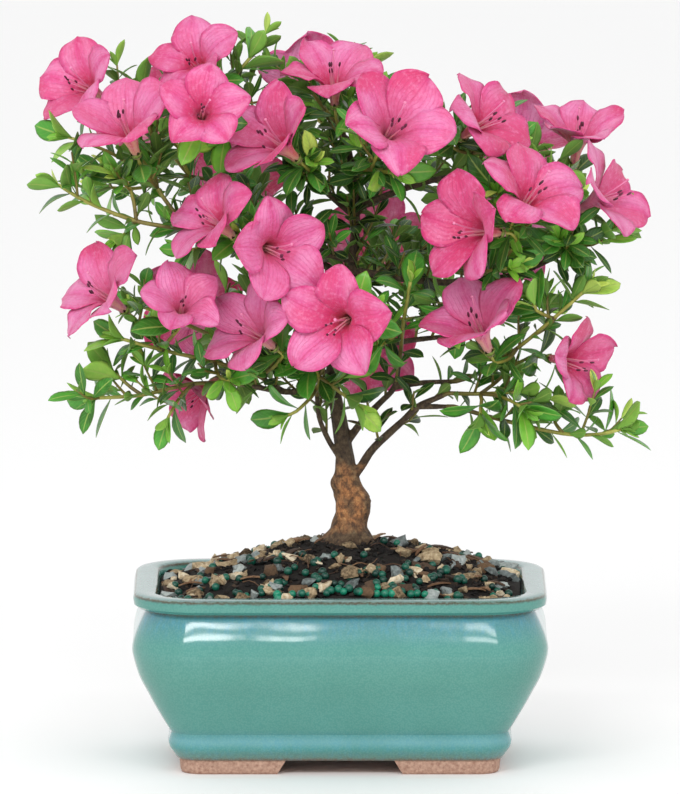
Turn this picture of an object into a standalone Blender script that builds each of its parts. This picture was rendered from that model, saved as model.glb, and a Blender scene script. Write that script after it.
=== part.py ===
"""Azalea bonsai in a glazed stoneware pot.

The pot, the potting mix, two drain screens, one woody trunk with its branches, leafy shoots that seat on
the branches' cut ends, and flowers that seat on the shoots' ends. Shapes are worked out in millimetres
and turned to metres when each object is finished. +X is the viewer's right, -Y the front, +Z up, and the
origin is on the table under the middle of the pot.
"""

import math
import random

import bmesh
import bpy
from mathutils import Matrix, Vector
from mathutils.bvhtree import BVHTree

MM = 0.001
SEAT_GAP = 0.3

# Pot: widest outline, and its profile as (height, inset from that outline).
POT_HALF_LENGTH = 80.0
POT_HALF_WIDTH = 60.0
POT_CORNER = 27.0
POT_HEIGHT = 70.0
POT_FOOT = 5.6
POT_FLOOR_TOP = 11.2
POT_OUTSIDE = (
    (POT_FOOT, 17.4), (8.3, 15.6), (9.8, 14.5), (12.6, 13.9), (14.8, 14.7), (16.4, 14.7), (20.0, 12.4),
    (25.5, 9.1), (31.0, 6.1), (37.0, 2.9), (43.0, 0.9), (48.0, 0.0), (53.0, 1.0), (58.0, 2.9), (63.2, 5.2),
    (64.2, 2.2), (65.4, 0.7), (67.6, 0.4), (69.2, 1.0), (POT_HEIGHT, 2.6),
)
RIM_INNER_INSET = 9.5
POT_INSIDE = (
    (POT_HEIGHT, RIM_INNER_INSET), (66.0, 10.4), (56.0, 8.8), (46.0, 6.4), (32.0, 12.0), (15.0, 20.5),
)
CORNER_STEPS = 4
FOOT_LENGTH = 41.0
FOOT_SLANT = 4.0
FOOT_INSET = 18.2
FOOT_TOE_INSET = 19.6
FOOT_WIDTH = 12.0
SIDE_FOOT_LENGTH = 30.0
DRAIN_RADIUS = 6.0
DRAIN_OFFSET = 30.0
SCREEN_SIDE = 22.0
SCREEN_THICKNESS = 0.9
SCREEN_HOLES = 2

# Soil: a mound round the trunk, and what lies on it.
SOIL_EDGE = 66.6
MOUND_RISE = 19.0
MOUND_SPREAD = (76.0, 54.0)
TRUNK_FOOT = (4.0, 0.0)
SOIL_RINGS = 4
STONES = 18
PRILLS = 13
PRILL_RADIUS = 1.8

# Trunk: (x, y, z, half width across, half width in depth) up its middle line.
TRUNK = (
    (3.4, 0, 74.0, 9.6, 9.0), (3.2, 0, 81.0, 10.4, 9.8), (2.9, 0, 86.0, 9.4, 8.8), (3.2, 0, 89.4, 7.4, 7.1),
    (3.8, 0, 94.0, 6.4, 6.2), (4.5, 0, 99.5, 6.3, 6.1), (4.3, 0, 103.4, 6.2, 5.9), (2.5, 0, 107.8, 5.4, 5.2),
    (2.2, 0, 112.0, 4.2, 4.2), (1.7, -0.6, 120.0, 3.5, 3.5), (-0.4, -1.6, 133.0, 2.9, 2.9),
    (-2.8, 0.6, 147.0, 2.6, 2.6), (-1.6, 3.6, 162.0, 2.4, 2.4),
    (3.0, 3.4, 179.0, 2.1, 2.1), (5.0, 2.0, 197.0, 1.9, 1.9), (6.2, 1.4, 214.0, 1.6, 1.6),
    (4.6, -1.0, 230.0, 1.4, 1.4), (2.2, -4.6, 243.0, 1.2, 1.2),
)
TRUNK_SIDES = 9
BARK_LUMPS = 0.07
BURL = 0.9
ROOTS = (
    (205, 15.0, 2.9), (248, 12.0, 2.4), (318, 15.5, 3.0), (352, 11.0, 2.6), (60, 12.0, 2.8), (135, 13.0, 2.7),
)

# Branches and shoots: the wood's middle line from inside the piece that carries it, its radius at each
# end, the green shoot that seats on its cut end, and the tips of side shoots, each with its heading.
SHOOTS = {
    "high_left": (
        ((5, 1, 194), (-12, -10, 200), (-30, -19, 205), (-46, -26, 209), (-62, -31, 216)), 1.7, 1.0,
        ((-70, -32, 226), (-76, -31, 238)),
        (((-104, -36, 246), (-1, -0.2, 0.3)), ((-76, -16, 262), (-0.3, 0.1, 1)))),
    "left_tip": (
        ((-49, -27, 210), (-61, -35, 211)), 1.2, 0.9,
        ((-78, -38, 214), (-96, -39, 221), (-108, -38, 228)),
        (((-84, -42, 231), (-0.7, -0.5, 0.5)), ((-84, -30, 207), (-0.7, -0.3, -0.5)))),
    "left_inner": (
        ((-27, -18, 204), (-31, -27, 205)), 1.2, 0.9,
        ((-35, -36, 207), (-38, -42, 209)),
        (((-58, -40, 203), (-0.9, -0.5, -0.1)),)),
    "top_left": (
        ((6, 1, 211), (-8, -6, 224), (-20, -12, 237), (-31, -15, 249), (-38, -17, 260)), 1.5, 0.9,
        ((-40, -17, 267), (-34, -15, 275)),
        (((-44, -34, 247), (-0.2, -0.7, -0.4)),)),
    "top_middle": (
        ((-10, -7, 227), (-12, -16, 229)), 1.1, 0.9,
        ((-12, -25, 231), (-10, -33, 236)), ()),
    "top": (
        ((3, -3, 239), (1, -6, 245)), 1.1, 0.9,
        ((-4, -4, 251), (-14, -4, 264)),
        (((14, -16, 262), (0.5, -0.1, 0.8)),)),
    "top_front": (
        ((5, -2, 226), (8, -11, 229)), 1.1, 0.9,
        ((11, -22, 232), (20, -34, 232)), ()),
    "top_right": (
        ((50, -18, 230), (50, -19, 236)), 1.1, 0.9,
        ((49, -22, 243), (40, -28, 252)),
        (((66, -26, 243), (0.7, -0.4, 0.5)),)),
    "right_top": (
        ((6, 1, 214), (22, -9, 222), (40, -16, 228), (58, -20, 230)), 1.5, 1.0,
        ((70, -22, 227), (84, -22, 228)),
        (((60, -44, 226), (-0.3, -0.9, 0.5)),)),
    "right": (
        ((4, 2, 190), (22, -5, 188), (44, -11, 187), (66, -14, 190), (84, -18, 198)), 1.7, 1.0,
        ((94, -22, 203), (104, -20, 209)),
        (((84, -34, 206), (-0.1, -0.9, 0.4)),)),
    "middle": (
        ((46, -12, 187), (52, -20, 190)), 1.2, 0.9,
        ((58, -30, 194), (64, -40, 196)),
        (((44, -36, 176), (-0.4, -0.8, -0.2)),)),
    "middle_fresh": (
        ((1, 0, 121), (8, -2, 131), (15, -5, 139), (21, -8, 146), (23, -12, 157)), 1.7, 0.9,
        ((24, -22, 170), (27, -34, 190)),
        (((14, -32, 166), (-0.5, -0.8, 0.3)),)),
    "right_main": (
        ((21, -8, 146), (32, -11, 148), (43, -15, 149)), 1.3, 0.9,
        ((54, -19, 153), (68, -24, 163), (82, -27, 175), (94, -29, 186)),
        (((74, -34, 182), (-0.4, -0.3, 0.9)),)),
    "right_low": (
        ((3, 0, 107), (8, -2, 114), (13, -6, 122), (24, -11, 133), (30, -13, 139), (40, -17, 144)), 1.9, 1.1,
        ((54, -21, 145), (70, -22, 146)),
        (((54, -28, 137), (0, -0.6, -0.8)), ((70, -34, 141), (0.6, -0.7, -0.4)))),
    "right_low_tip": (
        ((30, -13, 139), (42, -13, 139)), 1.2, 0.9,
        ((66, -14, 133), (86, -17, 129), (99, -19, 129), (108, -20, 131)),
        (((84, -12, 137), (0.4, 0.3, 0.8)),)),
    "left_low": (
        ((-1, -1, 137), (-8, -8, 144), (-15, -15, 145), (-23, -21, 146), (-36, -26, 149)), 1.7, 1.0,
        ((-56, -29, 150), (-76, -32, 146), (-94, -34, 145)),
        (((-66, -38, 138), (-0.4, -0.5, -0.7)), ((-88, -28, 155), (-0.8, 0.2, 0.6)))),
    "left_middle": (
        ((-22, -20, 146), (-30, -27, 152)), 1.2, 0.9,
        ((-48, -34, 159), (-68, -37, 164), (-84, -41, 169)),
        (((-42, -48, 154), (0.3, -0.8, 0.3)),)),
    "middle_low": (
        ((1, -1, 116), (-4, -4, 124), (-8, -8, 134), (-9, -13, 144)), 1.2, 0.9,
        ((-8, -22, 152), (-14, -32, 159)),
        (((6, -26, 142), (0.8, -0.3, -0.5)), ((-20, -24, 137), (-0.9, -0.3, -0.4)))),
    "back_left": (
        ((4, 3, 186), (-12, 14, 194), (-30, 23, 203), (-48, 29, 214)), 1.6, 1.0,
        ((-58, 31, 223), (-64, 30, 238)),
        (((-92, 14, 222), (-1, -0.2, 0.4)),)),
    "back_top": (
        ((6, 1, 216), (3, 10, 230), (0, 18, 243)), 1.4, 1.0,
        ((0, 23, 250), (8, 28, 264)), ()),
    "back_right": (
        ((3, 4, 180), (20, 16, 190), (40, 25, 199), (58, 30, 208)), 1.6, 1.0,
        ((72, 32, 212), (90, 26, 216)),
        (((44, 46, 216), (-0.3, 0.8, 0.5)),)),
    "back_low": (
        ((-2, 2, 155), (12, 14, 158), (26, 22, 160), (40, 27, 161)), 1.5, 1.0,
        ((54, 30, 165), (76, 26, 174)),
        (((34, 46, 176), (-0.2, 0.8, 0.4)),)),
    "back_low_left": (
        ((-3, 1, 149), (-16, 13, 153), (-30, 22, 156), (-44, 27, 159)), 1.5, 1.0,
        ((-56, 29, 164), (-78, 22, 174)),
        (((-28, 42, 180), (-0.4, 0.7, 0.5)),)),
}

# Flowers: the shoot that carries each, the middle of its mouth (x, y, z), which way it faces (degrees to
# the viewer's right of straight ahead, degrees above level), its turn about its own axis, and its size.
FLOWERS = (
    ("high_left", (-101, -26, 267), -48, 30, 39, 0.88), ("high_left", (-83, -58, 256), -28, 54, 39, 1.00),
    ("top_left", (-57, -32, 277), -26, 38, 36, 0.84), ("top_left", (-52, -68, 261), 4, 25, 11, 0.80),
    ("top_middle", (-27, -50, 249), -44, 36, 28, 1.00), ("top", (-3, -20, 271), -8, 64, 59, 0.92),
    ("top_front", (22, -64, 256), 21, 36, 48, 1.07), ("top_right", (58, -38, 255), 54, 35, 21, 0.92),
    ("right_top", (75, -60, 230), 36, 46, 4, 1.00), ("right_top", (92, -4, 247), 24, 74, 60, 0.88),
    ("right", (105, -28, 224), 68, 28, 20, 0.93), ("middle", (47, -66, 214), -48, 8, 27, 1.03),
    ("left_inner", (-51, -60, 220), -52, 38, 38, 0.90), ("left_inner", (-23, -62, 206), 24, 4, 27, 0.96),
    ("middle_low", (-2, -71, 179), -20, 2, 15, 1.02), ("left_middle", (-94, -42, 189), -56, 36, 50, 0.92),
    ("left_middle", (-60, -62, 187), 6, 42, 30, 0.76), ("left_middle", (-36, -56, 176), -47, 34, 12, 0.95),
    ("left_low", (-58, -6, 141), -60, -28, 0, 0.80), ("right_main", (51, -50, 179), -33, 53, 61, 1.02),
    ("right_low", (93, -28, 158), 55, -2, 17, 0.84), ("back_low", (12, 46, 152), 168, -24, 0, 0.92),
    ("back_left", (-76, 54, 244), 208, 30, 20, 1.00), ("back_left", (-40, 66, 218), 190, 18, 32, 1.02),
    ("back_top", (-10, 50, 262), 186, 46, 5, 1.00), ("back_right", (70, 52, 238), 155, 34, 40, 1.00),
    ("back_right", (64, 68, 196), 166, 4, 12, 1.04), ("back_low", (14, 72, 192), 184, 12, 24, 1.06),
    ("back_low_left", (-60, 60, 170), 205, 6, 30, 1.02),
)
BLOOM_DEPTH = 20.0
MOUTH_RADIUS = 23.0
TUBE_RADIUS = 1.5
TUBE_SHARE = 0.42
PETAL_WIDEST = 0.82
LOBES = 5
LOBE_HALF_WIDTH = 10.2
PETAL_THICKNESS = 0.8
LEAF_THICKNESS = 0.75
PATH_STEP = 15.0
CLEARANCE = 0.35
LEAF_LENGTHS = (13.5, 20.0)
LEAF_HALF_WIDTH = 0.24
LEAF_WIDEST = 0.6
LEAF_FOLD = 0.06
LEAF_BOW = 0.08
LEAF_BAND = 1.1
LEAF_ATTEMPTS = 6
STRAIGHT_END = 3.6
FALLEN_SHARE = 0.18
# A blade's faces by its corners: A and B on the stem below it, C and D above, then the top and the bottom
# skin, T and B, each with its left, middle, right and tip corner.
LEAF_FACES = (
    ("D", "TL", "TM"), ("D", "TM", "C"), ("C", "TM", "TR"), ("TL", "TT", "TM"), ("TM", "TT", "TR"),
    ("A", "BM", "BL"), ("A", "B", "BM"), ("B", "BR", "BM"), ("BL", "BM", "BT"), ("BM", "BR", "BT"),
    ("A", "BL", "TL"), ("A", "TL", "D"), ("B", "C", "TR"), ("B", "TR", "BR"),
    ("BL", "BT", "TT"), ("BL", "TT", "TL"), ("BR", "TR", "TT"), ("BR", "TT", "BT"),
)

# Leafy bands of each kind of stem: distance back from its end, lean of the blades, and their size.
MAIN_BANDS = ((1.0, 0.6, 0.9), (5.5, 1.05, 1.0))
TIP_BANDS = ((1.0, 0.6, 0.9), (4.5, 1.05, 1.0))
FLOWER_BANDS = ((2.4, 1.3, 1.0),)
STYLE_TIP = (3.0, 1.0, 27.0)
STEM_RADIUS = 0.85
SIDE_STEM_RADIUS = 0.75


def clear_scene():
    for obj in list(bpy.data.objects):
        bpy.data.objects.remove(obj, do_unlink=True)


def new_collection(name):
    collection = bpy.data.collections.new(name)
    bpy.context.scene.collection.children.link(collection)
    return collection


def material(name, colour, roughness):
    made = bpy.data.materials.new(name)
    made.use_nodes = True
    shader = made.node_tree.nodes["Principled BSDF"]
    shader.inputs["Base Color"].default_value = (*colour, 1.0)
    shader.inputs["Roughness"].default_value = roughness
    shader.inputs["Metallic"].default_value = 0.0
    return made


def link_mesh(name, mesh, collection, finish=None):
    obj = bpy.data.objects.new(name, mesh)
    collection.objects.link(obj)
    if finish is not None:
        mesh.materials.clear()
        mesh.materials.append(finish)
    return obj


def mesh_of(name, points, faces):
    mesh = bpy.data.meshes.new(name)
    mesh.from_pydata([tuple(p) for p in points], [], faces)
    mesh.update()
    return mesh


def mesh_from_bmesh(name, bm):
    bmesh.ops.recalc_face_normals(bm, faces=bm.faces)
    mesh = bpy.data.meshes.new(name)
    bm.to_mesh(mesh)
    bm.free()
    return mesh


def evaluated_mesh(obj):
    graph = bpy.context.evaluated_depsgraph_get()
    return bpy.data.meshes.new_from_object(obj.evaluated_get(graph))


def apply_modifiers(obj):
    """The object keeps its evaluated mesh and drops its modifiers."""
    mesh = evaluated_mesh(obj)
    obj.modifiers.clear()
    obj.data = mesh


def triangulate(obj):
    """Splits a mesh into triangles, so that a Boolean meets no bent face."""
    bm = bmesh.new()
    bm.from_mesh(obj.data)
    bmesh.ops.triangulate(bm, faces=bm.faces)
    bm.to_mesh(obj.data)
    bm.free()


def join_all(obj, others, solver="MANIFOLD"):
    """Unions a list of closed objects into obj, and removes them."""
    pieces = new_collection(obj.name + "_pieces")
    triangulate(obj)
    for other in others:
        triangulate(other)
        for owner in list(other.users_collection):
            owner.objects.unlink(other)
        pieces.objects.link(other)
    boolean = obj.modifiers.new("join", "BOOLEAN")
    boolean.operation = "UNION"
    boolean.operand_type = "COLLECTION"
    boolean.collection = pieces
    boolean.solver = solver
    bpy.context.view_layer.update()
    apply_modifiers(obj)
    for other in list(pieces.objects):
        bpy.data.objects.remove(other, do_unlink=True)
    bpy.data.collections.remove(pieces)


def cut(obj, cutter, solver="EXACT"):
    boolean = obj.modifiers.new("cut", "BOOLEAN")
    boolean.operation = "DIFFERENCE"
    boolean.object = cutter
    boolean.solver = solver
    bpy.context.view_layer.update()
    apply_modifiers(obj)
    bpy.data.objects.remove(cutter, do_unlink=True)


def to_metres(obj):
    """Scales a finished mesh from millimetres to metres, as triangles, and drops loose scraps."""
    bm = bmesh.new()
    bm.from_mesh(obj.data)
    bmesh.ops.triangulate(bm, faces=bm.faces)
    keep_largest(bm)
    bm.to_mesh(obj.data)
    bm.free()
    obj.data.transform(Matrix.Scale(MM, 4))
    obj.data.update()


def keep_largest(bm):
    """Deletes every separate shell but the one with most faces."""
    shells, seen = [], set()
    for face in bm.faces:
        if face in seen:
            continue
        shell, waiting = [], [face]
        seen.add(face)
        while waiting:
            current = waiting.pop()
            shell.append(current)
            for edge in current.edges:
                for neighbour in edge.link_faces:
                    if neighbour not in seen:
                        seen.add(neighbour)
                        waiting.append(neighbour)
        shells.append(shell)
    shells.sort(key=len)
    for shell in shells[:-1]:
        bmesh.ops.delete(bm, geom=shell, context="FACES")


def shade_round(obj, degrees):
    obj.data.shade_smooth()
    obj.data.set_sharp_from_angle(angle=math.radians(degrees))


def rounded_outline(inset, steps=CORNER_STEPS):
    """Points of the pot's plan outline, moved in by the inset, anticlockwise from above."""
    half_x, half_y = POT_HALF_LENGTH - inset, POT_HALF_WIDTH - inset
    radius = max(POT_CORNER - inset, 5.0)
    points = []
    for corner, (sx, sy) in enumerate(((1, 1), (-1, 1), (-1, -1), (1, -1))):
        for step in range(steps + 1):
            angle = math.radians(90 * corner + 90 * step / steps)
            points.append((sx * (half_x - radius) + radius * math.cos(angle),
                           sy * (half_y - radius) + radius * math.sin(angle)))
    return points


def lofted_levels(levels):
    """A closed solid through (height, inset) outlines of the pot's plan."""
    bm = bmesh.new()
    rings = []
    for height, inset in levels:
        rings.append([bm.verts.new((x, y, height)) for x, y in rounded_outline(inset)])
    for lower, upper in zip(rings, rings[1:]):
        for i in range(len(lower)):
            j = (i + 1) % len(lower)
            bm.faces.new((lower[i], lower[j], upper[j], upper[i]))
    bm.faces.new(list(reversed(rings[0])))
    bm.faces.new(rings[-1])
    return bm


def box(name, size, centre, collection):
    bm = bmesh.new()
    bmesh.ops.create_cube(bm, size=1.0)
    bmesh.ops.scale(bm, vec=size, verts=bm.verts)
    bmesh.ops.translate(bm, vec=centre, verts=bm.verts)
    return link_mesh(name, mesh_from_bmesh(name, bm), collection)


def foot_gap(name, half_width, reach, turn, collection):
    """A cutter for the gap between two feet: wider at the table than at the pot, right through."""
    slant = FOOT_SLANT
    low, high = -1.0, POT_FOOT
    section = ((-half_width - slant, low), (half_width + slant, low), (half_width, high), (-half_width, high))
    points = [(x, y, z) for y in (-reach, reach) for x, z in section]
    faces = [(0, 1, 2, 3), (7, 6, 5, 4), (0, 4, 5, 1), (1, 5, 6, 2), (2, 6, 7, 3), (3, 7, 4, 0)]
    mesh = mesh_of(name, points, faces)
    mesh.transform(Matrix.Rotation(math.radians(turn), 4, "Z"))
    bm = bmesh.new()
    bm.from_mesh(mesh)
    bmesh.ops.recalc_face_normals(bm, faces=bm.faces)
    bm.to_mesh(mesh)
    bm.free()
    return link_mesh(name, mesh, collection)


def cylinder(name, radius, low, high, x, y, collection, sides=16):
    bm = bmesh.new()
    bmesh.ops.create_cone(bm, cap_ends=True, segments=sides, radius1=radius, radius2=radius, depth=high - low)
    bmesh.ops.translate(bm, vec=(x, y, (low + high) / 2), verts=bm.verts)
    return link_mesh(name, mesh_from_bmesh(name, bm), collection)


def build_pot(parts, finish):
    """The fired pot: bellied body with a rolled rim, a bead round its base, and four corner feet."""
    levels = [(0.0, FOOT_TOE_INSET), (1.2, FOOT_INSET + 0.4), (POT_FOOT - 0.1, FOOT_INSET), *POT_OUTSIDE]
    pot = link_mesh("pot", mesh_from_bmesh("pot", lofted_levels(levels)), parts, finish)
    inside = [(POT_FLOOR_TOP, 24.0), *reversed(POT_INSIDE), (POT_HEIGHT + 3.0, RIM_INNER_INSET)]
    cut(pot, link_mesh("inside", mesh_from_bmesh("inside", lofted_levels(inside)), parts))
    reach = POT_HALF_LENGTH + 10
    front_gap = POT_HALF_LENGTH - FOOT_INSET - FOOT_LENGTH
    side_gap = POT_HALF_WIDTH - FOOT_INSET - SIDE_FOOT_LENGTH
    cut(pot, foot_gap("gap_front", front_gap, reach, 0, parts))
    cut(pot, foot_gap("gap_side", side_gap, reach, 90, parts))
    toe_and_foot = FOOT_TOE_INSET + FOOT_WIDTH
    recess = (2 * (POT_HALF_LENGTH - toe_and_foot), 2 * (POT_HALF_WIDTH - toe_and_foot))
    cut(pot, box("recess", (*recess, POT_FOOT + 1), (0, 0, (POT_FOOT - 1) / 2), parts))
    for x in (-DRAIN_OFFSET, DRAIN_OFFSET):
        cut(pot, cylinder("drain", DRAIN_RADIUS, POT_FOOT - 2, POT_FLOOR_TOP + 2, x, 0, parts))
    to_metres(pot)
    shade_round(pot, 40)
    return pot


def build_screen(name, x, parts, finish):
    """A square of plastic mesh that lies over a drain hole and keeps the mix in."""
    low = POT_FLOOR_TOP + SEAT_GAP
    centre = (x, 0, low + SCREEN_THICKNESS / 2)
    screen = box(name, (SCREEN_SIDE, SCREEN_SIDE, SCREEN_THICKNESS), centre, parts)
    screen.data.materials.append(finish)
    pitch = SCREEN_SIDE / SCREEN_HOLES
    for row in range(SCREEN_HOLES):
        for column in range(SCREEN_HOLES):
            hole_x = x + (column - (SCREEN_HOLES - 1) / 2) * pitch
            hole_y = (row - (SCREEN_HOLES - 1) / 2) * pitch
            cut(screen, box("hole", (pitch * 0.62, pitch * 0.62, 4), (hole_x, hole_y, centre[2]), parts))
    to_metres(screen)


def soil_height(x, y):
    """Height of the mix: low at the rim, mounded round the trunk, slightly uneven."""
    dx, dy = (x - TRUNK_FOOT[0]) / MOUND_SPREAD[0], (y - TRUNK_FOOT[1]) / MOUND_SPREAD[1]
    mound = MOUND_RISE * max(0.0, 1 - math.hypot(dx, dy) ** 1.6)
    uneven = 0.5 * math.sin(0.31 * x + 1.0) * math.cos(0.37 * y)
    return SOIL_EDGE + mound + uneven


def pebble(name, place, size, rng, collection):
    """An angular piece of grit, half sunk in the mix."""
    bm = bmesh.new()
    bmesh.ops.create_cube(bm, size=1.0)
    for vert in bm.verts:
        vert.co *= rng.uniform(0.75, 1.15)
    turn = Matrix.Rotation(rng.uniform(0, math.tau), 4, "Z") @ Matrix.Rotation(rng.uniform(-0.5, 0.5), 4, "X")
    shape = Matrix.Translation(place) @ turn @ Matrix.Diagonal((size * 1.25, size, size * 0.8, 1))
    bmesh.ops.transform(bm, matrix=shape, verts=bm.verts)
    bmesh.ops.triangulate(bm, faces=bm.faces)
    return link_mesh(name, mesh_from_bmesh(name, bm), collection)


def prill(name, place, radius, collection):
    """A round coated feed pellet lying on the mix."""
    bm = bmesh.new()
    bmesh.ops.create_icosphere(bm, subdivisions=1, radius=radius)
    bmesh.ops.translate(bm, vec=place, verts=bm.verts)
    return link_mesh(name, mesh_from_bmesh(name, bm), collection)


def scatter_on_soil(rng, count, spacing, taken, keep_from_trunk):
    """Places on the mix that keep their distance from each other, the rim and the trunk's foot."""
    places = []
    while len(places) < count:
        x = rng.uniform(-POT_HALF_LENGTH + 16, POT_HALF_LENGTH - 16)
        y = rng.uniform(-POT_HALF_WIDTH + 15, POT_HALF_WIDTH - 15)
        if math.hypot((x - TRUNK_FOOT[0]), (y - TRUNK_FOOT[1])) < keep_from_trunk:
            continue
        corner = math.hypot(max(abs(x) - 50, 0), max(abs(y) - 31, 0))
        if corner > 15 or any(math.hypot(x - a, y - b) < spacing for a, b in taken):
            continue
        taken.append((x, y))
        places.append((x, y, soil_height(x, y)))
    return places


def build_soil(parts, finish, trunk_clearance):
    """The potting mix with its grit and pellets, and a plain hole where the trunk stands."""
    bottom = POT_FLOOR_TOP + SEAT_GAP
    walls = [(bottom, 24.0 + SEAT_GAP)]
    walls += [(height, inset + SEAT_GAP + 0.1) for height, inset in reversed(POT_INSIDE)
              if height < SOIL_EDGE and height != 32.0]
    walls.append((SOIL_EDGE, RIM_INNER_INSET + 0.9 + SEAT_GAP))
    bm = lofted_levels(walls)
    bmesh.ops.recalc_face_normals(bm, faces=bm.faces)
    top = max(bm.faces, key=lambda face: face.calc_center_median().z)
    outer = list(top.verts)
    edge = [(vert.co.x, vert.co.y) for vert in outer]
    bmesh.ops.delete(bm, geom=[top], context="FACES_ONLY")
    for step in range(1, SOIL_RINGS + 1):
        share = 1 - step / (SOIL_RINGS + 0.6)
        inner = []
        for x, y in edge:
            x = TRUNK_FOOT[0] + (x - TRUNK_FOOT[0]) * share
            y = TRUNK_FOOT[1] + (y - TRUNK_FOOT[1]) * share
            inner.append(bm.verts.new((x, y, soil_height(x, y))))
        for i in range(len(outer)):
            j = (i + 1) % len(outer)
            bm.faces.new((outer[i], outer[j], inner[j], inner[i]))
        outer = inner
    bm.faces.new(outer)
    soil = link_mesh("potting_mix", mesh_from_bmesh("potting_mix", bm), parts, finish)

    rng = random.Random(11)
    taken = []
    stones = scatter_on_soil(rng, STONES, 6.4, taken, 17)
    pellets = scatter_on_soil(rng, PRILLS, 5.0, taken, 14)
    bits = [pebble(f"stone_{i}", place, rng.uniform(3.4, 6.2), rng, parts) for i, place in enumerate(stones)]
    bits += [prill(f"prill_{i}", (x, y, z + 0.6), PRILL_RADIUS, parts) for i, (x, y, z) in enumerate(pellets)]
    join_all(soil, bits, "EXACT")
    room = SCREEN_SIDE + 4 * SEAT_GAP
    height = POT_FLOOR_TOP + 3 * SEAT_GAP + SCREEN_THICKNESS
    for x in (-DRAIN_OFFSET, DRAIN_OFFSET):
        cut(soil, box("screen_room", (room, room, 2 * (height - bottom)), (x, 0, bottom), parts))
    cut(soil, trunk_clearance, "MANIFOLD")
    to_metres(soil)
    return soil


def smooth_path(points, step):
    """Points about a step apart on a Catmull-Rom curve through the given ones."""
    points = [Vector(p) for p in points]
    ends = [2 * points[0] - points[1], *points, 2 * points[-1] - points[-2]]
    path = [points[0]]
    for a, b, c, d in zip(ends, ends[1:], ends[2:], ends[3:]):
        count = max(1, round((c - b).length / step))
        for i in range(1, count + 1):
            t = i / count
            path.append(0.5 * (2 * b + (c - a) * t + (2 * a - 5 * b + 4 * c - d) * t * t
                               + (3 * b - a - 3 * c + d) * t ** 3))
    return path


def path_lengths(path):
    lengths = [0.0]
    for a, b in zip(path, path[1:]):
        lengths.append(lengths[-1] + (b - a).length)
    return lengths


def tube_solid(path, start_radius, end_radius, sides):
    """Points and faces of a tapering stem along a path."""
    lengths = path_lengths(path)
    across = (path[1] - path[0]).orthogonal().normalized()
    points, faces = [], []
    for i, (place, length) in enumerate(zip(path, lengths)):
        along = (path[min(i + 1, len(path) - 1)] - path[max(i - 1, 0)]).normalized()
        across = (across - along * across.dot(along)).normalized()
        other = along.cross(across)
        radius = start_radius + (end_radius - start_radius) * length / lengths[-1]
        for side in range(sides):
            angle = math.tau * side / sides
            points.append(place + (across * math.cos(angle) + other * math.sin(angle)) * radius)
        if i:
            low, high = (i - 1) * sides, i * sides
            for side in range(sides):
                after = (side + 1) % sides
                faces.append((low + side, low + after, high + after, high + side))
    faces.append(tuple(reversed(range(sides))))
    faces.append(tuple(range(len(points) - sides, len(points))))
    return points, faces


def tube(name, path, start_radius, end_radius, collection, sides=4):
    return link_mesh(name, mesh_of(name, *tube_solid(path, start_radius, end_radius, sides)), collection)


def trunk_loft(name, grow, collection):
    """The trunk as rings with uneven, lumpy bark; grow widens it to cut its hole in the mix."""
    bm = bmesh.new()
    rings = []
    for level, (x, y, z, wide, deep) in enumerate(TRUNK):
        ring = []
        for side in range(TRUNK_SIDES):
            angle = math.tau * side / TRUNK_SIDES + 0.21 * level
            lump = 1 + BARK_LUMPS * (math.sin(3 * angle + 1.9 * level) + math.sin(5 * angle - 1.3 * level))
            burl = BURL * math.exp(-((z - 101) / 4.5) ** 2) * max(0.0, math.cos(angle + 0.3)) ** 2
            radius_x, radius_y = wide * lump + burl + grow, deep * lump + grow
            height = z if level else z - grow
            place = (x + radius_x * math.cos(angle), y + radius_y * math.sin(angle), height)
            ring.append(bm.verts.new(place))
        rings.append(ring)
    for lower, upper in zip(rings, rings[1:]):
        for i in range(TRUNK_SIDES):
            j = (i + 1) % TRUNK_SIDES
            bm.faces.new((lower[i], lower[j], upper[j], upper[i]))
    bm.faces.new(list(reversed(rings[0])))
    bm.faces.new(rings[-1])
    return link_mesh(name, mesh_from_bmesh(name, bm), collection)


def root_paths():
    """Surface roots that leave the trunk's foot and dive into the mix."""
    for degrees, reach, radius in ROOTS:
        angle = math.radians(degrees)
        across, deep = math.cos(angle), math.sin(angle)
        foot_x, foot_y = TRUNK_FOOT
        yield [(foot_x + across * r, foot_y + deep * r, z)
               for r, z in ((2, 92), (6, 87.5), (reach * 0.75, 83.5), (reach, 78))], radius


def trunk_pieces(name, grow, collection):
    pieces = [trunk_loft(name, grow, collection)]
    for i, (points, radius) in enumerate(root_paths()):
        path = [Vector(point) for point in points]
        path[-1] += (path[-1] - path[-2]).normalized() * grow
        pieces.append(tube(f"{name}_root_{i}", path, radius + grow, radius * 0.45 + grow, collection, 6))
    return pieces


def shoot_paths(name):
    """The middle lines of a shoot's wood and of its green stem, a seat's gap apart."""
    wood_points, _, _, green_points, _ = SHOOTS[name]
    line = smooth_path([*wood_points, *green_points], PATH_STEP)
    cut_end = Vector(wood_points[-1])
    split = min(range(len(line)), key=lambda i: (line[i] - cut_end).length)
    onward = (line[split] - line[split - 1]).normalized()
    seat = [line[split] + onward * SEAT_GAP, line[split] + onward * (SEAT_GAP + 1.5)]
    return line[:split + 1], [*seat, *line[split + 1:]]


def build_trunk(parts, finish):
    trunk, *others = trunk_pieces("trunk", 0.0, parts)
    trunk.data.materials.append(finish)
    for name, (_, start, end, _, _) in SHOOTS.items():
        wood, _ = shoot_paths(name)
        others.append(tube(name, wood, start, end, parts, 4))
    join_all(trunk, others, "EXACT")
    to_metres(trunk)
    shade_round(trunk, 50)
    return trunk


def heading(azimuth, tilt):
    """A direction: degrees to the viewer's right of straight ahead, and degrees above level."""
    a, t = math.radians(azimuth), math.radians(tilt)
    return Vector((math.sin(a) * math.cos(t), -math.cos(a) * math.cos(t), math.sin(t)))


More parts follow.
